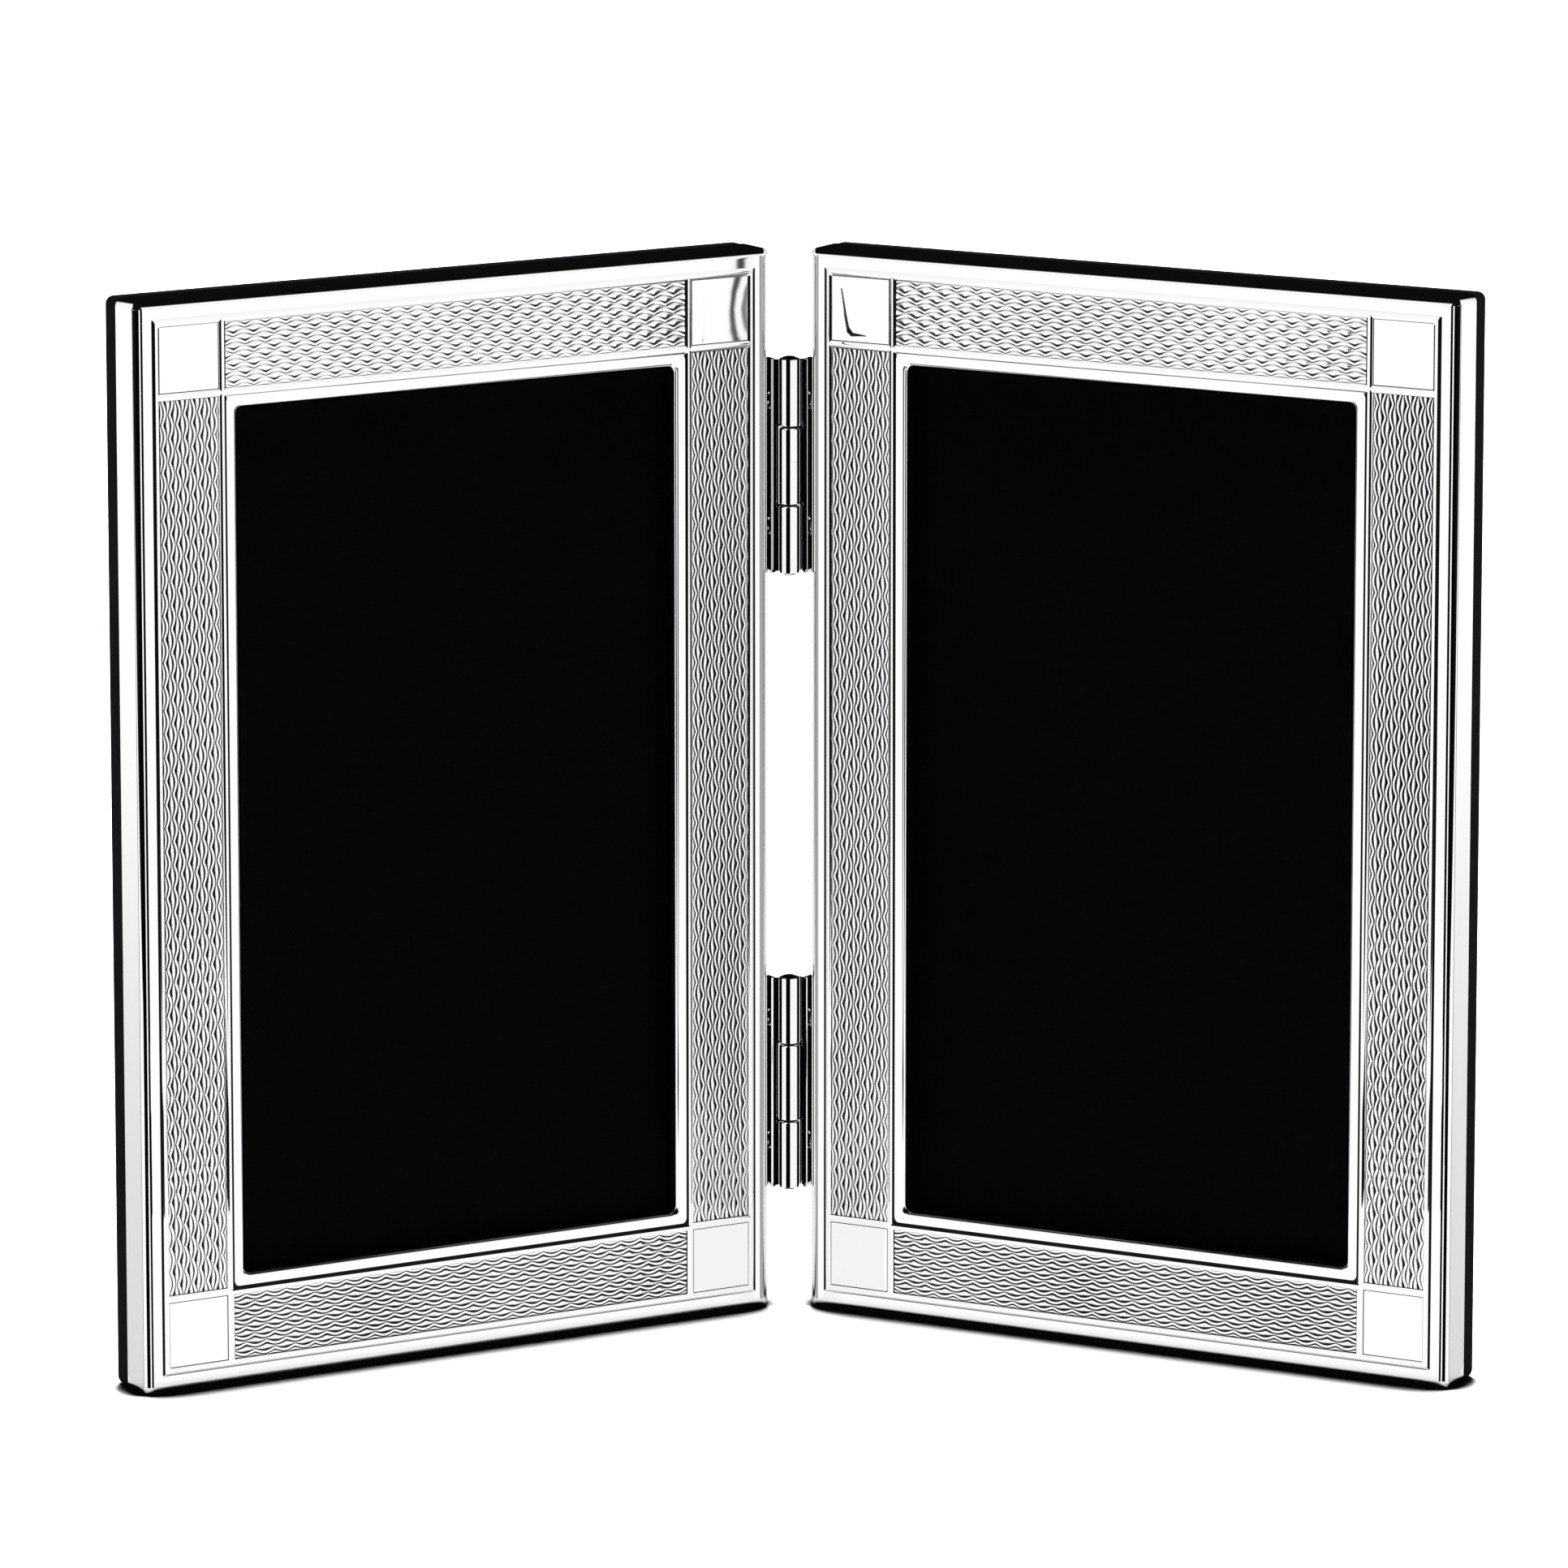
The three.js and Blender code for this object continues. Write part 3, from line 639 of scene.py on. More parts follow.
ENGINE_TURNING, TURNING_KEYS = engine_turning()
band_edge = OUTER_BEAD + BEAD_HALF_WIDTH
band_end = INNER_BEAD + BEAD_HALF_WIDTH
leaf_middle = Vector((0, BAND_SINK, LEAF_HEIGHT / 2))
BAR_PAIRS = {
    "upright": (Vector((1, 0, 0)), LEAF_WIDTH, LEAF_HEIGHT),
    "level": (Vector((0, 0, 1)), LEAF_HEIGHT, LEAF_WIDTH),
}
for side in LEAVES:
    for lie, (way_in, spread, run) in BAR_PAIRS.items():
        bars = new_sheet()
        for inward, (furrow_paint, dash) in zip((way_in, -way_in), BAR_PAINTED_REFLECTION[lie]):
            bar_mesh = run_tree(ENGINE_TURNING, TURNING_KEYS, {
                **CUTS[lie],
                "Length": run - 2 * band_end,
                "Width": BAND_WIDTH,
                "Furrows": FURROWS,
                "Pair Shift": PAIR_SHIFT,
                "Furrow Paint": furrow_paint,
                "Dash": dash,
                "Material": POLISHED_SILVER,
            })
            bar = bmesh.new()
            bar.from_mesh(bar_mesh)
            close_under(bar)
            bar.to_mesh(bar_mesh)
            bar.free()
            bar_mesh.transform(bar_place(inward, leaf_middle - inward * (spread / 2 - band_edge)))
            bars.from_mesh(bar_mesh)
            bpy.data.meshes.remove(bar_mesh)
        finish_piece(
            f"{side}_{lie}_bars", bars, leaf_place(side), POLISHED_SILVER,
            f"{side}_leaf", [], BAND_SHARP_ANGLE,
        )

# Glass of each leaf
# A pane of picture glass with ground edges, etched so that it hardly reflects. It lies in the rebate
# behind the silver's lip, and the print is pressed against its back.

GLASS_TINT = (0.98, 1.0, 0.99, 1)
GLASS_IOR = 1.04
GLASS_ROUGHNESS = 0.01
SMEAR_ROUGHNESS = 0.02
SMEAR_SCALE = 30


def picture_glass():
    material, nodes, place = new_material("picture_glass")
    smear = nodes.noise(place, SMEAR_SCALE)
    set_surface(nodes, {
        "Base Color": GLASS_TINT,
        "Roughness": GLASS_ROUGHNESS + SMEAR_ROUGHNESS * smear,
        "IOR": GLASS_IOR,
        "Transmission Weight": 1.0,
    })
    return material


PICTURE_GLASS = picture_glass()
for side in LEAVES:
    dress(f"{side}_glass", PICTURE_GLASS)

# Black card behind each glass
# A plain sheet of black card the size of a print, with a faint fibre. It stands where the owner's
# picture goes and is held by the pressure of the backing card.

CARD_INKS = ((0.0003, 0.0003, 0.0004, 1), (0.0012, 0.0012, 0.0013, 1))
CARD_ROUGHNESS = (0.75, 0.15)
CARD_GLOSS = 0.02
FIBRE_SCALE = 2500
FIBRE_RELIEF = 0.00002


def black_card():
    material, nodes, place = new_material("black_card")
    fibre = nodes.noise(place, FIBRE_SCALE, detail=4, roughness=0.7)
    gloss = {"Specular IOR Level": CARD_GLOSS}
    set_mottled(nodes, fibre, CARD_INKS, CARD_ROUGHNESS, (fibre, FIBRE_RELIEF), gloss)
    return material


BLACK_CARD = black_card()
for side in LEAVES:
    dress(f"{side}_photo_card", BLACK_CARD)

# Backing card of each leaf
# Grey pulp board, cut to the print's size, that spreads the back panel's pressure over the print.

BOARD_GREYS = ((0.17, 0.15, 0.12, 1), (0.34, 0.31, 0.26, 1))
BOARD_ROUGHNESS = (0.85, 0.1)
PULP_SCALE = 900
PULP_RELIEF = 0.00005


def grey_board():
    material, nodes, place = new_material("grey_board")
    pulp = nodes.noise(place, PULP_SCALE, detail=5, roughness=0.7)
    set_mottled(nodes, pulp, BOARD_GREYS, BOARD_ROUGHNESS, (pulp, PULP_RELIEF))
    return material


GREY_BOARD = grey_board()
for side in LEAVES:
    dress(f"{side}_backing_card", GREY_BOARD)

# Velvet back of each leaf
# A board rim and a loose panel inside it, both wrapped in short black velvet. The rim is glued behind the
# silver's side walls, and the panel lifts out once its four turn buttons are swung aside.

RIM_INSET = 0.15
RIM_WIDTH = 12.2
FIT = 0.3  # gap left between neighbouring pieces
RIM_THICKNESS = 3.6
RIM_FRONT = SIDE_DEPTH + FIT
LEAF_DEPTH = RIM_FRONT + RIM_THICKNESS
RIM_ROUND = 1.2
RIM_INNER_ROUND = 0.6
RIM_CORNER_RADIUS = 1.3
PANEL_FRONT = 6.5
PANEL_ROUND = 0.6
PANEL_CORNER_RADIUS = 1.5
RIM_INNER_STEPS = 5
PANEL_EDGE_STEPS = 6
VELVET_BLACKS = ((0.0008, 0.0008, 0.001, 1), (0.003, 0.003, 0.0035, 1))
VELVET_SHEEN = {"Sheen Weight": 0.015, "Sheen Roughness": 0.45, "Sheen Tint": (0.5, 0.5, 0.55, 1)}
VELVET_ROUGHNESS = 0.85
VELVET_GLOSS = 0.03
PILE_ROUGHNESS = 0.1
PILE_SCALE = 5200
PILE_RELIEF = 0.00012
BRUSHED_SCALE = 55


def black_velvet():
    material, nodes, place = new_material("black_velvet")
    pile = nodes.noise(place, PILE_SCALE, detail=3, roughness=0.7)
    brushed = nodes.noise(place, BRUSHED_SCALE, detail=3)
    set_surface(nodes, {
        "Base Color": nodes.colour_mix(brushed, *VELVET_BLACKS),
        "Roughness": VELVET_ROUGHNESS + PILE_ROUGHNESS * pile,
        "Specular IOR Level": VELVET_GLOSS,
        "Normal": nodes.bump(pile, PILE_RELIEF),
        **VELVET_SHEEN,
    })
    return material


BLACK_VELVET = black_velvet()
for side in LEAVES:
    rim = bmesh.new()
    inner_round = (RIM_WIDTH - RIM_INNER_ROUND, LEAF_DEPTH - RIM_INNER_ROUND)
    add_moulding(rim, [
        (RIM_WIDTH, RIM_FRONT),
        (RIM_WIDTH, LEAF_DEPTH - RIM_INNER_ROUND - EASE),
        *arc(inner_round, RIM_INNER_ROUND, 0, 90, RIM_INNER_STEPS),
        *arc((RIM_INSET + RIM_ROUND, LEAF_DEPTH - RIM_ROUND), RIM_ROUND, 90, 180),
        (RIM_INSET, RIM_FRONT),
    ], lambda inset: max(RIM_CORNER_RADIUS - inset, SIGHT_CORNER_RADIUS))
    finish_piece(
        f"{side}_velvet_rim", rim, leaf_place(side), BLACK_VELVET,
        f"{side}_leaf", [f"{side}_back_rim"],
    )
    panel = bmesh.new()
    panel_width = LEAF_WIDTH - 2 * (RIM_WIDTH + FIT)
    panel_height = LEAF_HEIGHT - 2 * (RIM_WIDTH + FIT)
    edge = arc((PANEL_ROUND, LEAF_DEPTH - PANEL_ROUND), PANEL_ROUND, 90, 180, PANEL_EDGE_STEPS)
    add_loops(panel, [
        [
            (x, depth, z + LEAF_HEIGHT / 2)
            for x, z in outline(panel_width - 2 * inset, panel_height - 2 * inset, PANEL_CORNER_RADIUS)
        ]
        for inset, depth in (*edge, (0, PANEL_FRONT))
    ], "capped")
    finish_piece(
        f"{side}_velvet_panel", panel, leaf_place(side), BLACK_VELVET,
        f"{side}_leaf", [f"{side}_back_panel"],
    )

# Turn buttons
# Small pear-shaped plates stamped from brass, four to a leaf. Each swings on a screw in the rim, and its
# nose lies over the panel's edge until it is turned along the rim.

BUTTON_PIVOT_RADIUS = 2.6
BUTTON_NOSE_RADIUS = 1.7
BUTTON_LAP = 4.0
BUTTON_REACH = RIM_WIDTH / 2 + BUTTON_LAP
BUTTON_FRONT = LEAF_DEPTH + FIT
BUTTON_THICKNESS = 1.0
BUTTON_HOLE_RADIUS = 1.1
BUTTON_EDGE = 0.28
BUTTON_ARC_STEPS = 24
BUTTON_EDGE_STEPS = 4
BRASS_BRIGHT = (0.78, 0.56, 0.24, 1)
BRASS_DULL = (0.52, 0.35, 0.14, 1)
BRASS_ROUGHNESS = (0.2, 0.2)
BRASS_CLOUD_SCALE = 220
BRASS_BRUSH_SCALE = 3000
BRASS_RELIEF = 0.000008
METAL = {"Metallic": 1.0}


def lacquered_brass():
    material, nodes, place = new_material("lacquered_brass")
    cloud = nodes.noise(place, BRASS_CLOUD_SCALE, detail=4)
    brushed = nodes.noise(place, BRASS_BRUSH_SCALE)
    set_mottled(nodes, cloud, (BRASS_DULL, BRASS_BRIGHT), BRASS_ROUGHNESS, (brushed, BRASS_RELIEF), METAL)
    return material


def button_outline(inset):
    """The pear's outline in X and Z about its pivot, nose down, moved in by an inset."""
    drop = BUTTON_REACH - BUTTON_NOSE_RADIUS
    lean = math.degrees(math.asin((BUTTON_PIVOT_RADIUS - BUTTON_NOSE_RADIUS) / drop))
    head = arc((0, 0), BUTTON_PIVOT_RADIUS - inset, -lean, 180 + lean, BUTTON_ARC_STEPS)
    nose = arc((0, -drop), BUTTON_NOSE_RADIUS - inset, 180 + lean, 360 - lean, BUTTON_ARC_STEPS)
    return head + nose


def add_button(shape):
    back = BUTTON_FRONT + BUTTON_THICKNESS
    steps = arc((BUTTON_EDGE, back - BUTTON_EDGE), BUTTON_EDGE, 90, 180, BUTTON_EDGE_STEPS)
    steps += arc((BUTTON_EDGE, BUTTON_FRONT + BUTTON_EDGE), BUTTON_EDGE, 180, 270, BUTTON_EDGE_STEPS)
    loops = [[(x, depth, z) for x, z in button_outline(inset)] for inset, depth in steps]
    rings = add_loops(shape, loops, "open")
    bore = arc((0, 0), BUTTON_HOLE_RADIUS, 0, 360, BUTTON_ARC_STEPS)[:-1]
    holes = []
    for depth, ring in ((back, rings[0]), (BUTTON_FRONT, rings[-1])):
        hole = [shape.verts.new((x, depth, z)) for x, z in bore]
        edges = [shape.edges.new(pair) for pair in around(hole)]
        edges += [shape.edges.get(pair) for pair in around(ring)]
        bmesh.ops.triangle_fill(shape, use_beauty=True, edges=edges)
        holes.append(hole)
    join_rings(shape, *holes)


def button_places(hinge_side):
    """Each button's pivot in the leaf's X and Z, and the turn that points its nose at the panel."""
    inset = RIM_WIDTH / 2
    across = LEAF_WIDTH / 2 - inset
    return {
        "top": (0, LEAF_HEIGHT - inset, 0),
        "bottom": (0, inset, math.pi),
        "inner": (hinge_side * across, LEAF_HEIGHT / 2, hinge_side * math.pi / 2),
        "outer": (-hinge_side * across, LEAF_HEIGHT / 2, -hinge_side * math.pi / 2),
    }


LACQUERED_BRASS = lacquered_brass()
for side, hinge_side in LEAVES.items():
    for where, (x, z, turn) in button_places(hinge_side).items():
        button = bmesh.new()
        add_button(button)
        swing_place = Matrix.Translation((x, 0, z)) @ Matrix.Rotation(turn, 4, "Y")
        finish_piece(
            f"{side}_brass_button_{where}", button, leaf_place(side) @ swing_place, LACQUERED_BRASS,
            f"{side}_button_{where}", [f"{side}_turn_button_{where}"],
        )

# Screws of the turn buttons
# Round-headed slotted wood screws in brass, one through each button into the rim's board.

HEAD_SEAT = BUTTON_FRONT + BUTTON_THICKNESS + FIT
HEAD_RADIUS = 1.9
HEAD_HEIGHT = 0.95
SHANK_RADIUS = 0.8
SHANK_BITE = 2.2
SHANK_TIP = LEAF_DEPTH - SHANK_BITE
SLOT_WIDTH = 0.45
SLOT_DEPTH = 0.4
DOME_STEPS = 8
TURNED_SIDES = 32
WELD = 0.001
BUTTON_SLOT_TURNS = (0.4, 1.3, 2.2, 2.9)


def turned(profile):
    """A turned shape about Y, from (radius, height) points that start and end on the axis."""
    shape = bmesh.new()
    ends = [shape.verts.new((0, height, 0)) for _, height in (profile[0], profile[-1])]
    rings = []
    for radius, height in profile[1:-1]:
        circle = arc((0, 0), radius, 0, 360, TURNED_SIDES)[:-1]
        rings.append([shape.verts.new((x, height, z)) for x, z in circle])
    for k in range(TURNED_SIDES):
        after = (k + 1) % TURNED_SIDES
        shape.faces.new((ends[0], rings[0][k], rings[0][after]))
        shape.faces.new((ends[1], rings[-1][after], rings[-1][k]))
        for first, second in zip(rings, rings[1:]):
            shape.faces.new((first[k], second[k], second[after], first[after]))
    bmesh.ops.recalc_face_normals(shape, faces=shape.faces)
    return shape


def box_shape(low, high):
    shape = bmesh.new()
    bmesh.ops.create_cube(shape, size=1)
    for vertex in shape.verts:
        vertex.co = Vector([(a + b) / 2 + c * (b - a) for a, b, c in zip(low, high, vertex.co)])
    return shape


def scratch_object(shape):
    mesh = bpy.data.meshes.new("scratch")
    shape.to_mesh(mesh)
    shape.free()
    scratch = bpy.data.objects.new("scratch", mesh)
    bpy.context.scene.collection.objects.link(scratch)
    return scratch


def carve(shape, tools, operation):
    """Cuts shapes out of a shape, or joins them to it."""
    base = scratch_object(shape)
    others = [scratch_object(tool) for tool in tools]
    for other in others:
        modifier = base.modifiers.new("carve", "BOOLEAN")
        modifier.operation = operation
        modifier.solver = "EXACT"
        modifier.object = other
    made = base.evaluated_get(bpy.context.evaluated_depsgraph_get())
    mesh = bpy.data.meshes.new_from_object(made)
    result = bmesh.new()
    result.from_mesh(mesh)
    bmesh.ops.remove_doubles(result, verts=result.verts, dist=WELD)
    bmesh.ops.dissolve_degenerate(result, edges=result.edges, dist=WELD)
    bpy.data.meshes.remove(mesh)
    for scratch in (base, *others):
        bpy.data.objects.remove(scratch)
    return result


def screws_in_place():
    """The tree that sets a screw on each point, laid by an angle about Z and turned about its own axis."""
    tree, keys, nodes, given = new_tree("screws_in_place", {
        "Geometry": ("Places",), "Object": ("Screw",), "Float": ("Lay",), "Material": ("Material",),
    })
    screw = nodes.add("GeometryNodeObjectInfo", {}, {"Object": given["Screw"]}, "Geometry")
    turn = nodes.add("GeometryNodeInputNamedAttribute", {"data_type": "FLOAT"}, {"Name": "slot_turn"})
    pose = nodes.add("ShaderNodeCombineXYZ", {}, {"Y": turn, "Z": given["Lay"]})
    set_out = nodes.add("GeometryNodeInstanceOnPoints", {}, {
        "Points": given["Places"], "Instance": screw, "Rotation": pose,
    })
    end_tree(nodes, set_out, given["Material"])
    return tree, keys


SCREWS_IN_PLACE, SCREW_KEYS = screws_in_place()


def screw_set(screw, places, slot_turns, lay, material):
    """One shape with a copy of a screw at each place, each slot at its own angle."""
    points = bpy.data.meshes.new("screw_places")
    points.from_pydata(places, [], [])
    slot_turn = points.attributes.new("slot_turn", "FLOAT", "POINT")
    slot_turn.data.foreach_set("value", slot_turns)
    pattern = scratch_object(screw)
    values = {"Screw": pattern, "Lay": lay, "Material": material}
    mesh = run_tree(SCREWS_IN_PLACE, SCREW_KEYS, values, points)
    bpy.data.objects.remove(pattern)
    shape = bmesh.new()
    shape.from_mesh(mesh)
    bpy.data.meshes.remove(mesh)
    return shape


def domed(radius, seat, height, steps):
    """The (radius, height) points of a low dome from its rim on a seat to its top on the axis."""
    quarter = arc((0, 0), 1, 0, 90, steps)
    return [(radius * x, seat + height * y) for x, y in quarter[:-1]] + [(0, seat + height)]


def round_headed_screw():
    shank = [(0, SHANK_TIP), (SHANK_RADIUS, SHANK_TIP + SHANK_RADIUS), (SHANK_RADIUS, HEAD_SEAT)]
    profile = shank + domed(HEAD_RADIUS, HEAD_SEAT, HEAD_HEIGHT, DOME_STEPS)
    top = HEAD_SEAT + HEAD_HEIGHT
    slot = box_shape(
        (-2 * HEAD_RADIUS, top - SLOT_DEPTH, -SLOT_WIDTH / 2),
        (2 * HEAD_RADIUS, top + SLOT_DEPTH, SLOT_WIDTH / 2),
    )
    return carve(turned(profile), [slot], "DIFFERENCE")


for side, hinge_side in LEAVES.items():
    places = button_places(hinge_side)
    pivots = [(x, 0, z) for x, z, _ in places.values()]
    screws = screw_set(round_headed_screw(), pivots, BUTTON_SLOT_TURNS, 0, LACQUERED_BRASS)
    finish_piece(
        f"{side}_button_screws", screws, leaf_place(side), LACQUERED_BRASS,
        f"{side}_leaf", [f"{side}_button_screw_{where}" for where in places],
    )

# Hinges
# Two butt hinges in plated brass. Each plate is rolled into knuckles at its front edge, two on the left
# leaf and one on the right, coved round the other's, and screwed to the leaf's side wall. A peened pin of
# blued steel runs through the knuckles.

HINGE_LENGTH = 30.8
KNUCKLE_RADIUS = 1.45
KNUCKLE_CHAMFER = 0.12
MIDDLE_KNUCKLE = 11.2
PLATE_FACE = 1.75
PLATE_THICKNESS = 0.7
PLATE_FRONT = 0.8
PLATE_MARGIN = 0.5
PLATE_DEPTH = SIDE_DEPTH - PLATE_MARGIN
PLATE_EDGE = 0.12
WEB_FRONT = 0.9
WEB_REAR = 1.4
COVE_FRONT = 1.2
COVE_REAR = 1.9
COVE_REACH = 0.5
COVE_CLEARANCE = 0.15
PIN_BORE = 0.95
PIN_RADIUS = 0.75
PIN_HEAD_RADIUS = 1.05
PIN_HEAD_HEIGHT = 0.3
PIN_HEAD_LIFT = 0.03
PIN_DOME_STEPS = 6
HINGE_SCREW_OFFSET = 9.0
HINGE_SCREW_RADIUS = 0.8
HINGE_SCREW_LENGTH = 6.5
HINGE_HEAD_RADIUS = 1.6
SINK_LIP = 0.03
HINGE_SLOT_TURNS = (0.3, 1.1, 2.4, 1.8)
NICKEL_BRIGHT = (0.91, 0.91, 0.92, 1)
NICKEL_DULL = (0.82, 0.81, 0.79, 1)
STEEL_BLUE = (0.012, 0.013, 0.017, 1)
STEEL_WORN = (0.03, 0.03, 0.032, 1)
NICKEL_ROUGHNESS = (0.03, 0.04)
NICKEL_CLOUD_SCALE = 300
NICKEL_DENT_SCALE = 700
NICKEL_RELIEF = 0.000006
STEEL_ROUGHNESS = 0.2
STEEL_WEAR = 0.2  # what wear adds to the roughness
STEEL_CLOUD_SCALE = 600


def plated_metal():
    material, nodes, place = new_material("plated_hinge_metal")
    cloud = nodes.noise(place, NICKEL_CLOUD_SCALE, detail=4)
    dents = (nodes.noise(place, NICKEL_DENT_SCALE, detail=3), NICKEL_RELIEF)
    set_mottled(nodes, cloud, (NICKEL_DULL, NICKEL_BRIGHT), NICKEL_ROUGHNESS, dents, METAL)
    return material


def blued_steel():
    material, nodes, place = new_material("blued_steel")
    cloud = nodes.noise(place, STEEL_CLOUD_SCALE, detail=4)
    set_surface(nodes, {
        "Base Color": nodes.colour_mix(cloud, STEEL_BLUE, STEEL_WORN),
        "Roughness": STEEL_ROUGHNESS + STEEL_WEAR * cloud,
        **METAL,
    })
    return material


def wing_place(side, centre_z):
    """From millimetres about the hinge axis to the shared frame, turned with the leaf on that side."""
    x, y, _ = JOINTS["fold"]["pos_m"]
    return place_matrix(side, Vector((x, y, centre_z)))


def lay_on_z(shape):
    """Stands a turned shape on the hinge axis."""
    shape.transform(Matrix.Rotation(math.pi / 2, 4, "X"))
    return shape


def rod(radius, low, high, chamfer=0):
    side = [(radius, low + chamfer), (radius, high - chamfer)]
    if chamfer:
        side = [(radius - chamfer, low), *side, (radius - chamfer, high)]
    return lay_on_z(turned([(0, low), *side, (0, high)]))


def knuckle_spans(side):
    """Low and high ends of a plate's own knuckles, and of the other plate's."""
    half = HINGE_LENGTH / 2
    split = MIDDLE_KNUCKLE / 2
    play = FIT / 2
    outer = [(-half, -split - play), (split + play, half)]
    middle = [(play - split, split - play)]
    return (outer, middle) if side == "left" else (middle, outer)


def hinge_plate(side, outward):
    def plate_box(x_low, x_high, y_low, y_high, z_low, z_high):
        x_pair = sorted((outward * x_low, outward * x_high))
        return box_shape((x_pair[0], y_low, z_low), (x_pair[1], y_high, z_high))

    half = HINGE_LENGTH / 2
    plate_rear = PLATE_FRONT + PLATE_DEPTH
    plate = plate_box(PLATE_FACE, PLATE_FACE + PLATE_THICKNESS, PLATE_FRONT, plate_rear, -half, half)
    bmesh.ops.bevel(plate, geom=plate.edges[:], offset=PLATE_EDGE, segments=2, profile=0.5, affect="EDGES")
    web_end = PLATE_FACE + PLATE_THICKNESS / 2
    cove_limit = half - 2 * PLATE_EDGE
    knuckles = []
    own_spans, other_spans = knuckle_spans(side)
    for low, high in own_spans:
        knuckles.append(rod(KNUCKLE_RADIUS, low, high, KNUCKLE_CHAMFER))
        web_low, web_high = low + 2 * KNUCKLE_CHAMFER, high - 2 * KNUCKLE_CHAMFER
        knuckles.append(plate_box(0, web_end, WEB_FRONT, WEB_REAR, web_low, web_high))
    holes = [rod(PIN_BORE, -HINGE_LENGTH, HINGE_LENGTH)]
    for low, high in other_spans:
        cove_low, cove_high = max(low - 2 * FIT, -cove_limit), min(high + 2 * FIT, cove_limit)
        knuckles.append(plate_box(COVE_REACH, web_end, COVE_FRONT, COVE_REAR, cove_low, cove_high))
        holes.append(rod(KNUCKLE_RADIUS + COVE_CLEARANCE, low - FIT / 2, high + FIT / 2))
    whole = carve(plate, knuckles, "UNION")
    for z in (-HINGE_SCREW_OFFSET, HINGE_SCREW_OFFSET):
        sink = turned([
            (0, -2 * PLATE_THICKNESS),
            (HINGE_SCREW_RADIUS + FIT, -2 * PLATE_THICKNESS),
            (HINGE_SCREW_RADIUS + FIT, HINGE_SCREW_RADIUS - HINGE_HEAD_RADIUS),
            (HINGE_HEAD_RADIUS + FIT + SINK_LIP, SINK_LIP),
            (HINGE_HEAD_RADIUS + FIT + SINK_LIP, PLATE_THICKNESS),
            (0, PLATE_THICKNESS),
        ])
        sink.transform(Matrix.Rotation(outward * math.pi / 2, 4, "Z"))
        sink.transform(Matrix.Translation((outward * PLATE_FACE, PLATE_FRONT + PLATE_DEPTH / 2, z)))
        holes.append(sink)
    return carve(whole, holes, "DIFFERENCE")


def hinge_pin():
    end = HINGE_LENGTH / 2 + PIN_HEAD_LIFT
    upper = [(PIN_RADIUS, end), *domed(PIN_HEAD_RADIUS, end, PIN_HEAD_HEIGHT, PIN_DOME_STEPS)]
    lower = [(radius, -height) for radius, height in reversed(upper)]
    return lay_on_z(turned(lower + upper))


def countersunk_screw():
    screw = turned([
        (0, -HINGE_SCREW_LENGTH),
        (HINGE_SCREW_RADIUS, HINGE_SCREW_RADIUS - HINGE_SCREW_LENGTH),
        (HINGE_SCREW_RADIUS, HINGE_SCREW_RADIUS - HINGE_HEAD_RADIUS),
        (HINGE_HEAD_RADIUS, 0),
        (0, 0),
    ])
    slot = box_shape(
        (-SLOT_WIDTH / 2, -SLOT_DEPTH, -2 * HINGE_HEAD_RADIUS),
        (SLOT_WIDTH / 2, SLOT_DEPTH, 2 * HINGE_HEAD_RADIUS),
    )
    return carve(screw, [slot], "DIFFERENCE")


PLATED_METAL = plated_metal()
HINGES = {}
for level in ("upper", "lower"):
    low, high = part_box(f"{level}_hinge_left_plate")
    HINGES[level] = (low.z + high.z) / 2

for side, hinge_side in LEAVES.items():
    for level, centre_z in HINGES.items():
        finish_piece(
            f"{level}_{side}_hinge_leaf", hinge_plate(side, -hinge_side), wing_place(side, centre_z),
            PLATED_METAL, f"{side}_leaf", [f"{level}_hinge_{side}_plate"],
        )
    places = []
    for centre_z in sorted(HINGES.values()):
        for offset in (-HINGE_SCREW_OFFSET, HINGE_SCREW_OFFSET):
            places.append((-hinge_side * PLATE_FACE, PLATE_FRONT + PLATE_DEPTH / 2, centre_z / MM + offset))
    lay = -hinge_side * math.pi / 2
    screws = screw_set(countersunk_screw(), places, HINGE_SLOT_TURNS, lay, PLATED_METAL)
    finish_piece(
        f"{side}_hinge_screws", screws, wing_place(side, 0), PLATED_METAL,
        f"{side}_leaf", [f"{side}_hinge_screw_{k + 1}" for k in range(len(places))],
    )
BLUED_STEEL = blued_steel()
for level, centre_z in HINGES.items():
    finish_piece(
        f"{level}_pin", hinge_pin(), wing_place("left", centre_z), BLUED_STEEL,
        "left_leaf", [f"{level}_hinge_pin"],
    )

# Table, light and camera
# A wide pale table under two soft key lights, with a low one on the velvet from behind. The room is dark
# over bright low side walls, and cards that only reflections see stand about, as in a studio for polished
# silver: black ones before the leaves and round their outer corners, grey beside them, white by the hinges.

FLOOR_HALF = 9.0
FLOOR_PALE = (0.9, 0.9, 0.9, 1)
FLOOR_PALER = (0.915, 0.915, 0.915, 1)
FLOOR_MOTTLE_SCALE = 60
FLOOR_IN_SILVER = (1.07, 1.07, 1.07, 1)
CONTACT_REACH = 0.009
CONTACT_BLACK = (0.62, 0.74)  # open share of the sky at which the table's painted contact shadow is black, and no longer
CONTACT_GREY = (0.72, 1.0)  # open share at which silver sees the painted contact shadow still grey, and at which it is clear
# Painted shade in reflections: how much darker silver sees the table just beyond the contact shadow.
CONTACT_DIP = 0.35
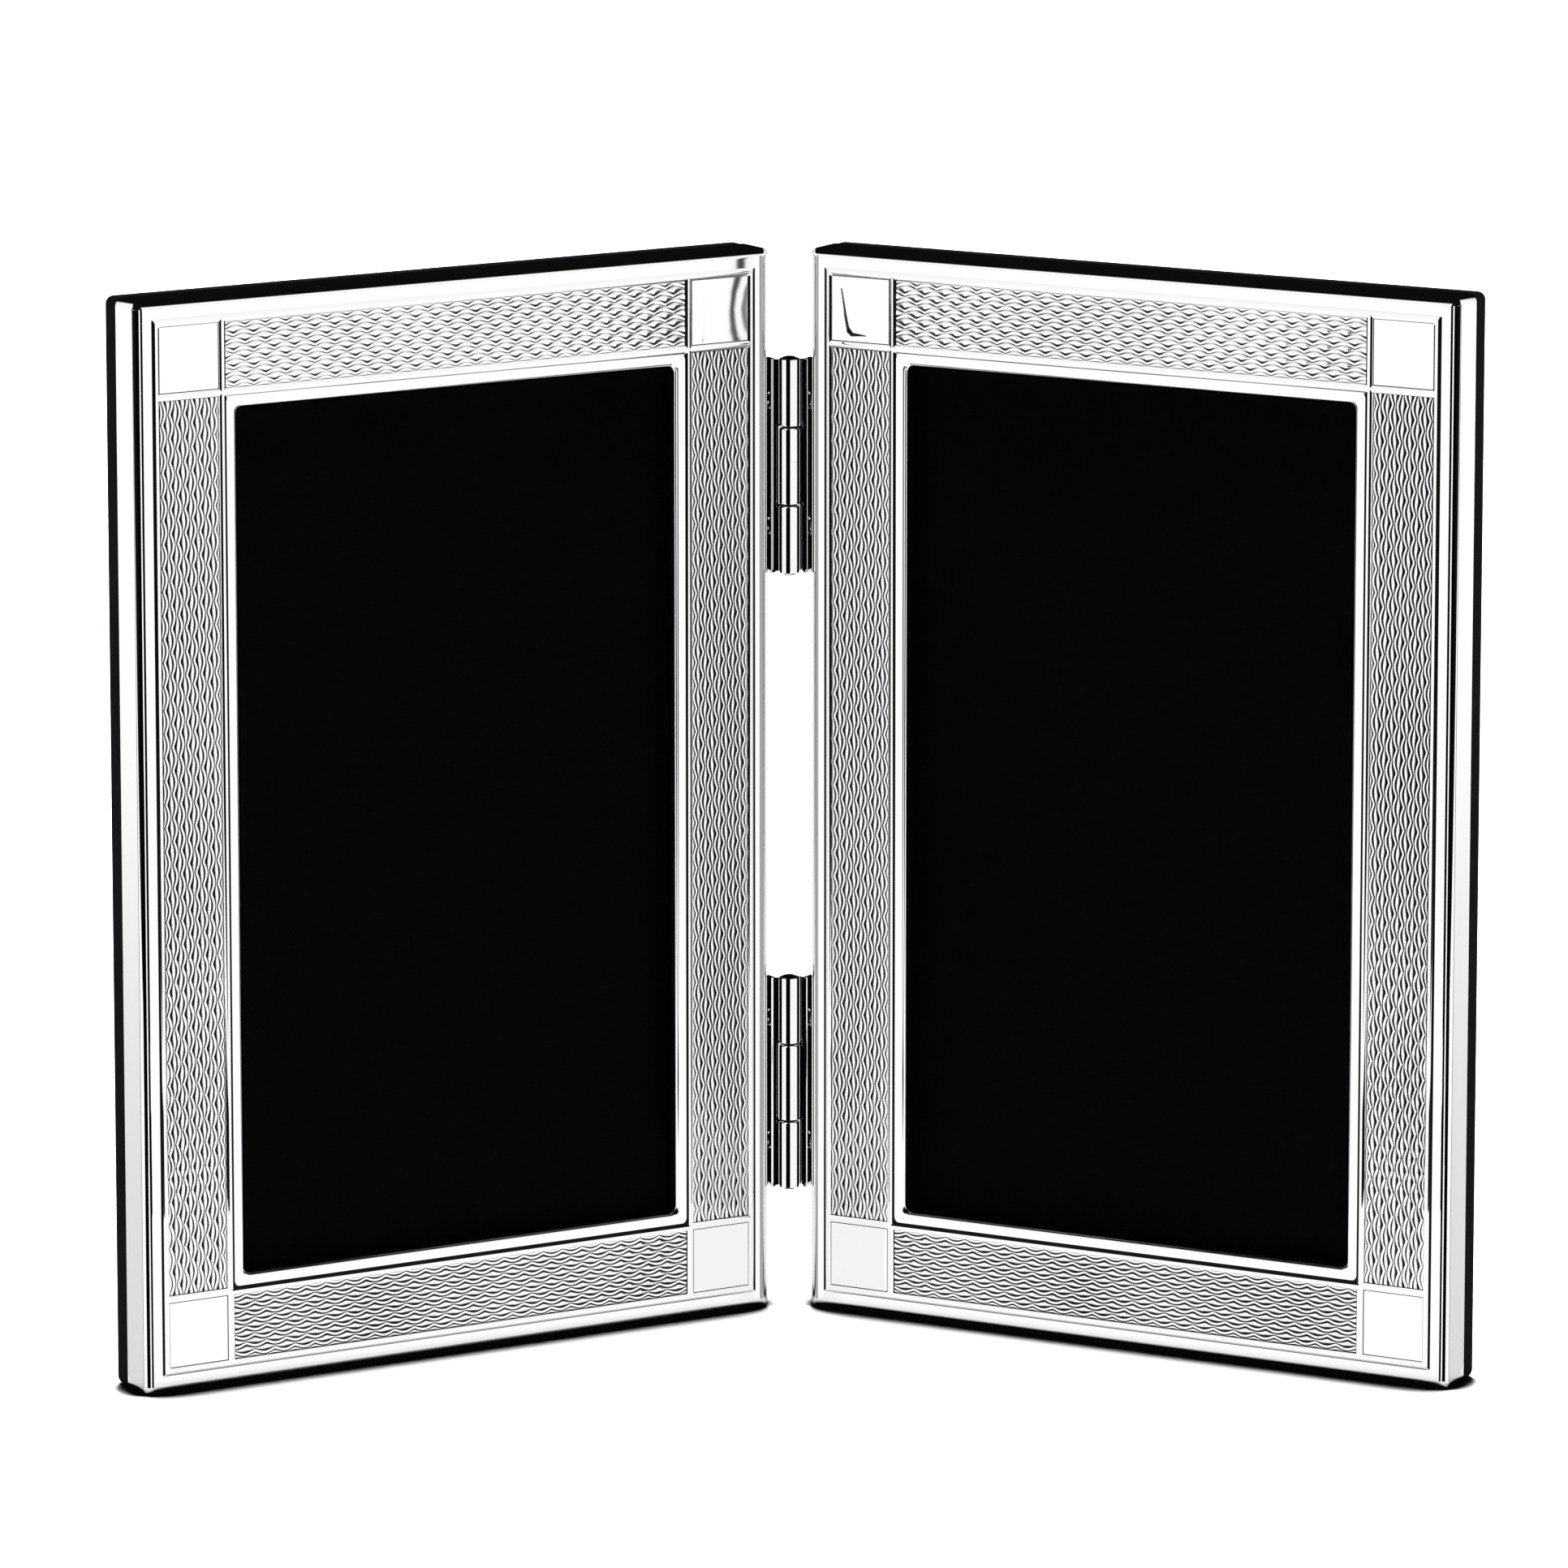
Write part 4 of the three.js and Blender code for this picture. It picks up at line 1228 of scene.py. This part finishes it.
# Black of the cloth cards, and of the table's painted contact shadow.
SHADOW_AND_CLOTH_BLACK = (0.002, 0.002, 0.002, 1)
CARD_LIFT = 0.0003
MIDDLE_CARD = ((0, -0.094), (0.051, -0.138), (0, -0.271), (-0.051, -0.138))
FRONT_CARD = ((0.086, -0.167), (0.071, -0.456), (1.43, -4.0), (4.6, -4.0))
CORNER_CARD_SPANS = ((-96, -62), (-28, 11), (35, 70))  # degrees from straight forward, towards the hinge
CORNER_CARD_RADIUS = 0.003
BARREL_CARDS = (  # tone, radius, and degrees from straight forward
    ("black", 0.00165, (-90, -56)),
    ("white", 0.0019, (-56, -25)),
    ("black", 0.0019, (-25, 5)),
    ("white", 0.0019, (5, 56)),
    ("black", 0.00165, (56, 90)),
)
STROKE = (  # a dark stroke on the right leaf's upper inner block, in the leaf's own X and Z
    (-45.85, 148.2), (-45.62, 148.2), (-44.95, 144.5), (-44.4, 142.4), (-43.7, 141.6), (-41.5, 141.3),
    (-41.5, 141.15), (-44.0, 141.0), (-44.8, 141.6), (-45.3, 144.0),
)
STROKE_SHIFT = (-6.71, -12.11, -2.03)  # from that block to the card it mirrors
BORDER_CARDS = {  # how far before the hinge axis each lies, and how high it reaches
    "grey": (0.0034, 0.0041, LEAF_HEIGHT * MM),
    "white": (0.0041, 0.005, LEAF_HEIGHT * MM),
    "pale": (0.005, 0.0155, 0.0135),
}
CURVED_CARD_STEPS = 10
CARD_TONES = {"white": (1.1, 1.1, 1.1, 1), "pale": (0.95, 0.95, 0.95, 1), "grey": (0.4, 0.4, 0.4, 1)}
SIDE_CARD_TURNS = (100, 140)
SIDE_CARD_REACH = 1.6
SIDE_CARD_FADE = 0.8
SIDE_CARD_NEAR = (0.23, 0.23, 0.23, 1)
SIDE_CARD_FAR = (0.36, 0.36, 0.36, 1)
SUNS = {"front_key": (3.2, 12), "back_key": (3.2, -12), "low_back": (12, -75)}  # strength, tilt
SUN_ANGLE = 20
ROOM_WHITE = (1, 1, 1, 1)
ROOM_SOFT = (0.35, 0.35, 0.35, 1)
ROOM_DARK = (0.004, 0.004, 0.004, 1)
WALL_EDGES = (0.62, 0.75)  # how far sideways a level look must point to meet the bright walls
WALL_TOP = (0.62, 0.45)  # upward part of a look at which the walls have ended, and begin to end
CAMERA_PLACE = (-0.0322, -1.4896, 0.3674)
CAMERA_YAW = 1.191
CAMERA_PITCH = 10.894
CAMERA_LENS = 248.4
CAMERA_SENSOR = 36
CAMERA_SIGHT = 100


def stage_sheet(name, points, faces, material):
    mesh = bpy.data.meshes.new(name)
    mesh.from_pydata(points, [], faces)
    mesh.materials.append(material)
    sheet_object = bpy.data.objects.new(name, mesh)
    bpy.context.scene.collection.objects.link(sheet_object)
    return sheet_object


def reflection_card(name, points, faces, material):
    card = stage_sheet(name, points, faces, material)
    for ray in ("camera", "diffuse", "transmission", "shadow"):
        setattr(card, f"visible_{ray}", False)


def flat_card(name, outline_points, material):
    points = [(x, y, CARD_LIFT) for x, y in outline_points]
    reflection_card(name, points, [range(len(points))], material)


def table_top():
    """A matt table with a painted contact shadow: black close to whatever stands on it. In reflections the
    rest is evenly white.
    """
    material, nodes, place = new_material("pale_table")
    pale = nodes.colour_mix(nodes.noise(place, FLOOR_MOTTLE_SCALE), FLOOR_PALE, FLOOR_PALER)
    sky = nodes.add("ShaderNodeAmbientOcclusion", {}, {"Distance": CONTACT_REACH}, "AO")
    clear = sky.eased(*CONTACT_BLACK)
    white = clear * (1 - CONTACT_DIP * (1 - sky.eased(*CONTACT_GREY)))
    matt = nodes.add("ShaderNodeBsdfDiffuse", {}, {"Color": nodes.colour_mix(clear, SHADOW_AND_CLOTH_BLACK, pale)})
    even_white = nodes.add("ShaderNodeEmission", {}, {
        "Color": nodes.colour_mix(white, SHADOW_AND_CLOTH_BLACK, FLOOR_IN_SILVER),
    })
    reflected = nodes.add("ShaderNodeLightPath", output="Is Glossy Ray")
    table = nodes.add("ShaderNodeMixShader", {}, {0: reflected, 1: matt, 2: even_white})
    nodes.add("ShaderNodeOutputMaterial", {}, {"Surface": table})
    return material


def black_cloth():
    material, nodes, _ = new_material("black_cloth")
    set_surface(nodes, {"Base Color": SHADOW_AND_CLOTH_BLACK, "Roughness": 1.0, "Specular IOR Level": 0.0})
    return material


def side_grey(side, corner):
    """Grey that pales with distance from the leaf's outer corner: painted shade, darkest beside the leaf.
    """
    material, nodes, place = new_material(f"{side}_side_grey")
    far = nodes.add("ShaderNodeVectorMath", {"operation": "DISTANCE"}, {0: place, 1: corner}, "Value")
    set_surface(nodes, {
        "Base Color": nodes.colour_mix(far.eased(0, SIDE_CARD_FADE), SIDE_CARD_NEAR, SIDE_CARD_FAR),
        "Roughness": 1.0,
        "Specular IOR Level": 0.0,
    })
    return material


def lit_card(name, colour):
    material, nodes, _ = new_material(name)
    glow = nodes.add("ShaderNodeEmission", {}, {"Color": colour})
    nodes.add("ShaderNodeOutputMaterial", {}, {"Surface": glow})
    return material


def curved_card(name, centre, radius, inward, span, heights, material):
    """An upright strip round the front of an upright axis."""
    start, stop = (math.radians(angle) for angle in span)
    points = []
    for step in range(CURVED_CARD_STEPS + 1):
        angle = start + (stop - start) * step / CURVED_CARD_STEPS
        x, y, _ = centre + radius * Vector((inward * math.sin(angle), -math.cos(angle), 0))
        points += [(x, y, height) for height in heights]
    faces = [(2 * k, 2 * k + 2, 2 * k + 3, 2 * k + 1) for k in range(CURVED_CARD_STEPS)]
    reflection_card(f"{name}_{span[0]}", points, faces, material)


table_corners = [(FLOOR_HALF * x, FLOOR_HALF * y, 0) for x, y in ((-1, -1), (1, -1), (1, 1), (-1, 1))]
stage_sheet("table", table_corners, [range(4)], table_top())
BLACK_CLOTH = black_cloth()
CARDS = {tone: lit_card(f"{tone}_card", colour) for tone, colour in CARD_TONES.items()}
CARDS["black"] = BLACK_CLOTH
leaf_heights = (CARD_LIFT, LEAF_HEIGHT * MM)
hinge_axis = Vector(JOINTS["fold"]["pos_m"])
for level, centre_z in HINGES.items():
    heights = [centre_z + end * HINGE_LENGTH / 2 * MM for end in (-1, 1)]
    for tone, radius, span in BARREL_CARDS:
        curved_card(f"{level}_barrel_card", hinge_axis, radius, 1, span, heights, CARDS[tone])
for tone, (near, far, top) in BORDER_CARDS.items():
    points = [(0, hinge_axis.y - reach, height) for reach in (near, far) for height in (CARD_LIFT, top)]
    reflection_card(f"{tone}_border_card", points, [(0, 1, 3, 2)], CARDS[tone])
stroke_points = [leaf_place("right") @ (Vector((x, 0, z)) + Vector(STROKE_SHIFT)) for x, z in STROKE]
reflection_card("stroke_card", stroke_points, [range(len(STROKE))], BLACK_CLOTH)
flat_card("middle_card", MIDDLE_CARD, BLACK_CLOTH)
for side, inward in LEAVES.items():
    flat_card(f"{side}_front_card", [(-inward * x, y) for x, y in FRONT_CARD], BLACK_CLOTH)
    corner = leaf_place(side) @ Vector((-inward * LEAF_WIDTH / 2, 0, 0))
    for span in CORNER_CARD_SPANS:
        name = f"{side}_corner_card"
        curved_card(name, corner, CORNER_CARD_RADIUS, inward, span, leaf_heights, BLACK_CLOTH)
    turns = [math.radians(turn) for turn in SIDE_CARD_TURNS]
    ends = [corner + SIDE_CARD_REACH * Vector((-inward * math.sin(a), -math.cos(a), 0)) for a in turns]
    flat_card(f"{side}_side_card", [point.xy for point in (corner, *ends)], side_grey(side, corner))

for name, (strength, tilt) in SUNS.items():
    sun = bpy.data.lights.new(name, "SUN")
    sun.energy = strength
    sun.angle = math.radians(SUN_ANGLE)
    sun_object = bpy.data.objects.new(name, sun)
    sun_object.rotation_euler = (math.radians(tilt), 0, 0)
    sun_object.visible_glossy = False
    bpy.context.scene.collection.objects.link(sun_object)

world = bpy.data.worlds.new("studio")
world.use_nodes = True
world.node_tree.nodes.clear()
nodes = Nodes(world.node_tree)
way = nodes.add("ShaderNodeTexCoord", output="Generated")
x, y, z = (nodes.add("ShaderNodeSeparateXYZ", {}, {0: way}, axis) for axis in "XYZ")
sideways = x.math("ABSOLUTE", x) / x.math("SQRT", x * x + y * y)
walls = sideways.eased(*WALL_EDGES) * z.eased(*WALL_TOP)
reflected = nodes.add("ShaderNodeLightPath", output="Is Glossy Ray")
seen = nodes.add("ShaderNodeLightPath", output="Is Camera Ray")
room = nodes.colour_mix(reflected, ROOM_SOFT, nodes.colour_mix(walls, ROOM_DARK, ROOM_WHITE))
background = nodes.add("ShaderNodeBackground", {}, {"Color": nodes.colour_mix(seen, room, ROOM_WHITE)})
nodes.add("ShaderNodeOutputWorld", {}, {"Surface": background})
bpy.context.scene.world = world
bpy.context.scene.view_settings.view_transform = "Standard"

camera = bpy.data.cameras.new("camera")
camera.lens = CAMERA_LENS
camera.sensor_width = CAMERA_SENSOR
camera.clip_end = CAMERA_SIGHT
camera_object = bpy.data.objects.new("camera", camera)
camera_object.location = CAMERA_PLACE
camera_object.rotation_euler = (math.radians(90 - CAMERA_PITCH), 0, math.radians(-CAMERA_YAW))
bpy.context.scene.collection.objects.link(camera_object)
bpy.context.scene.camera = camera_object
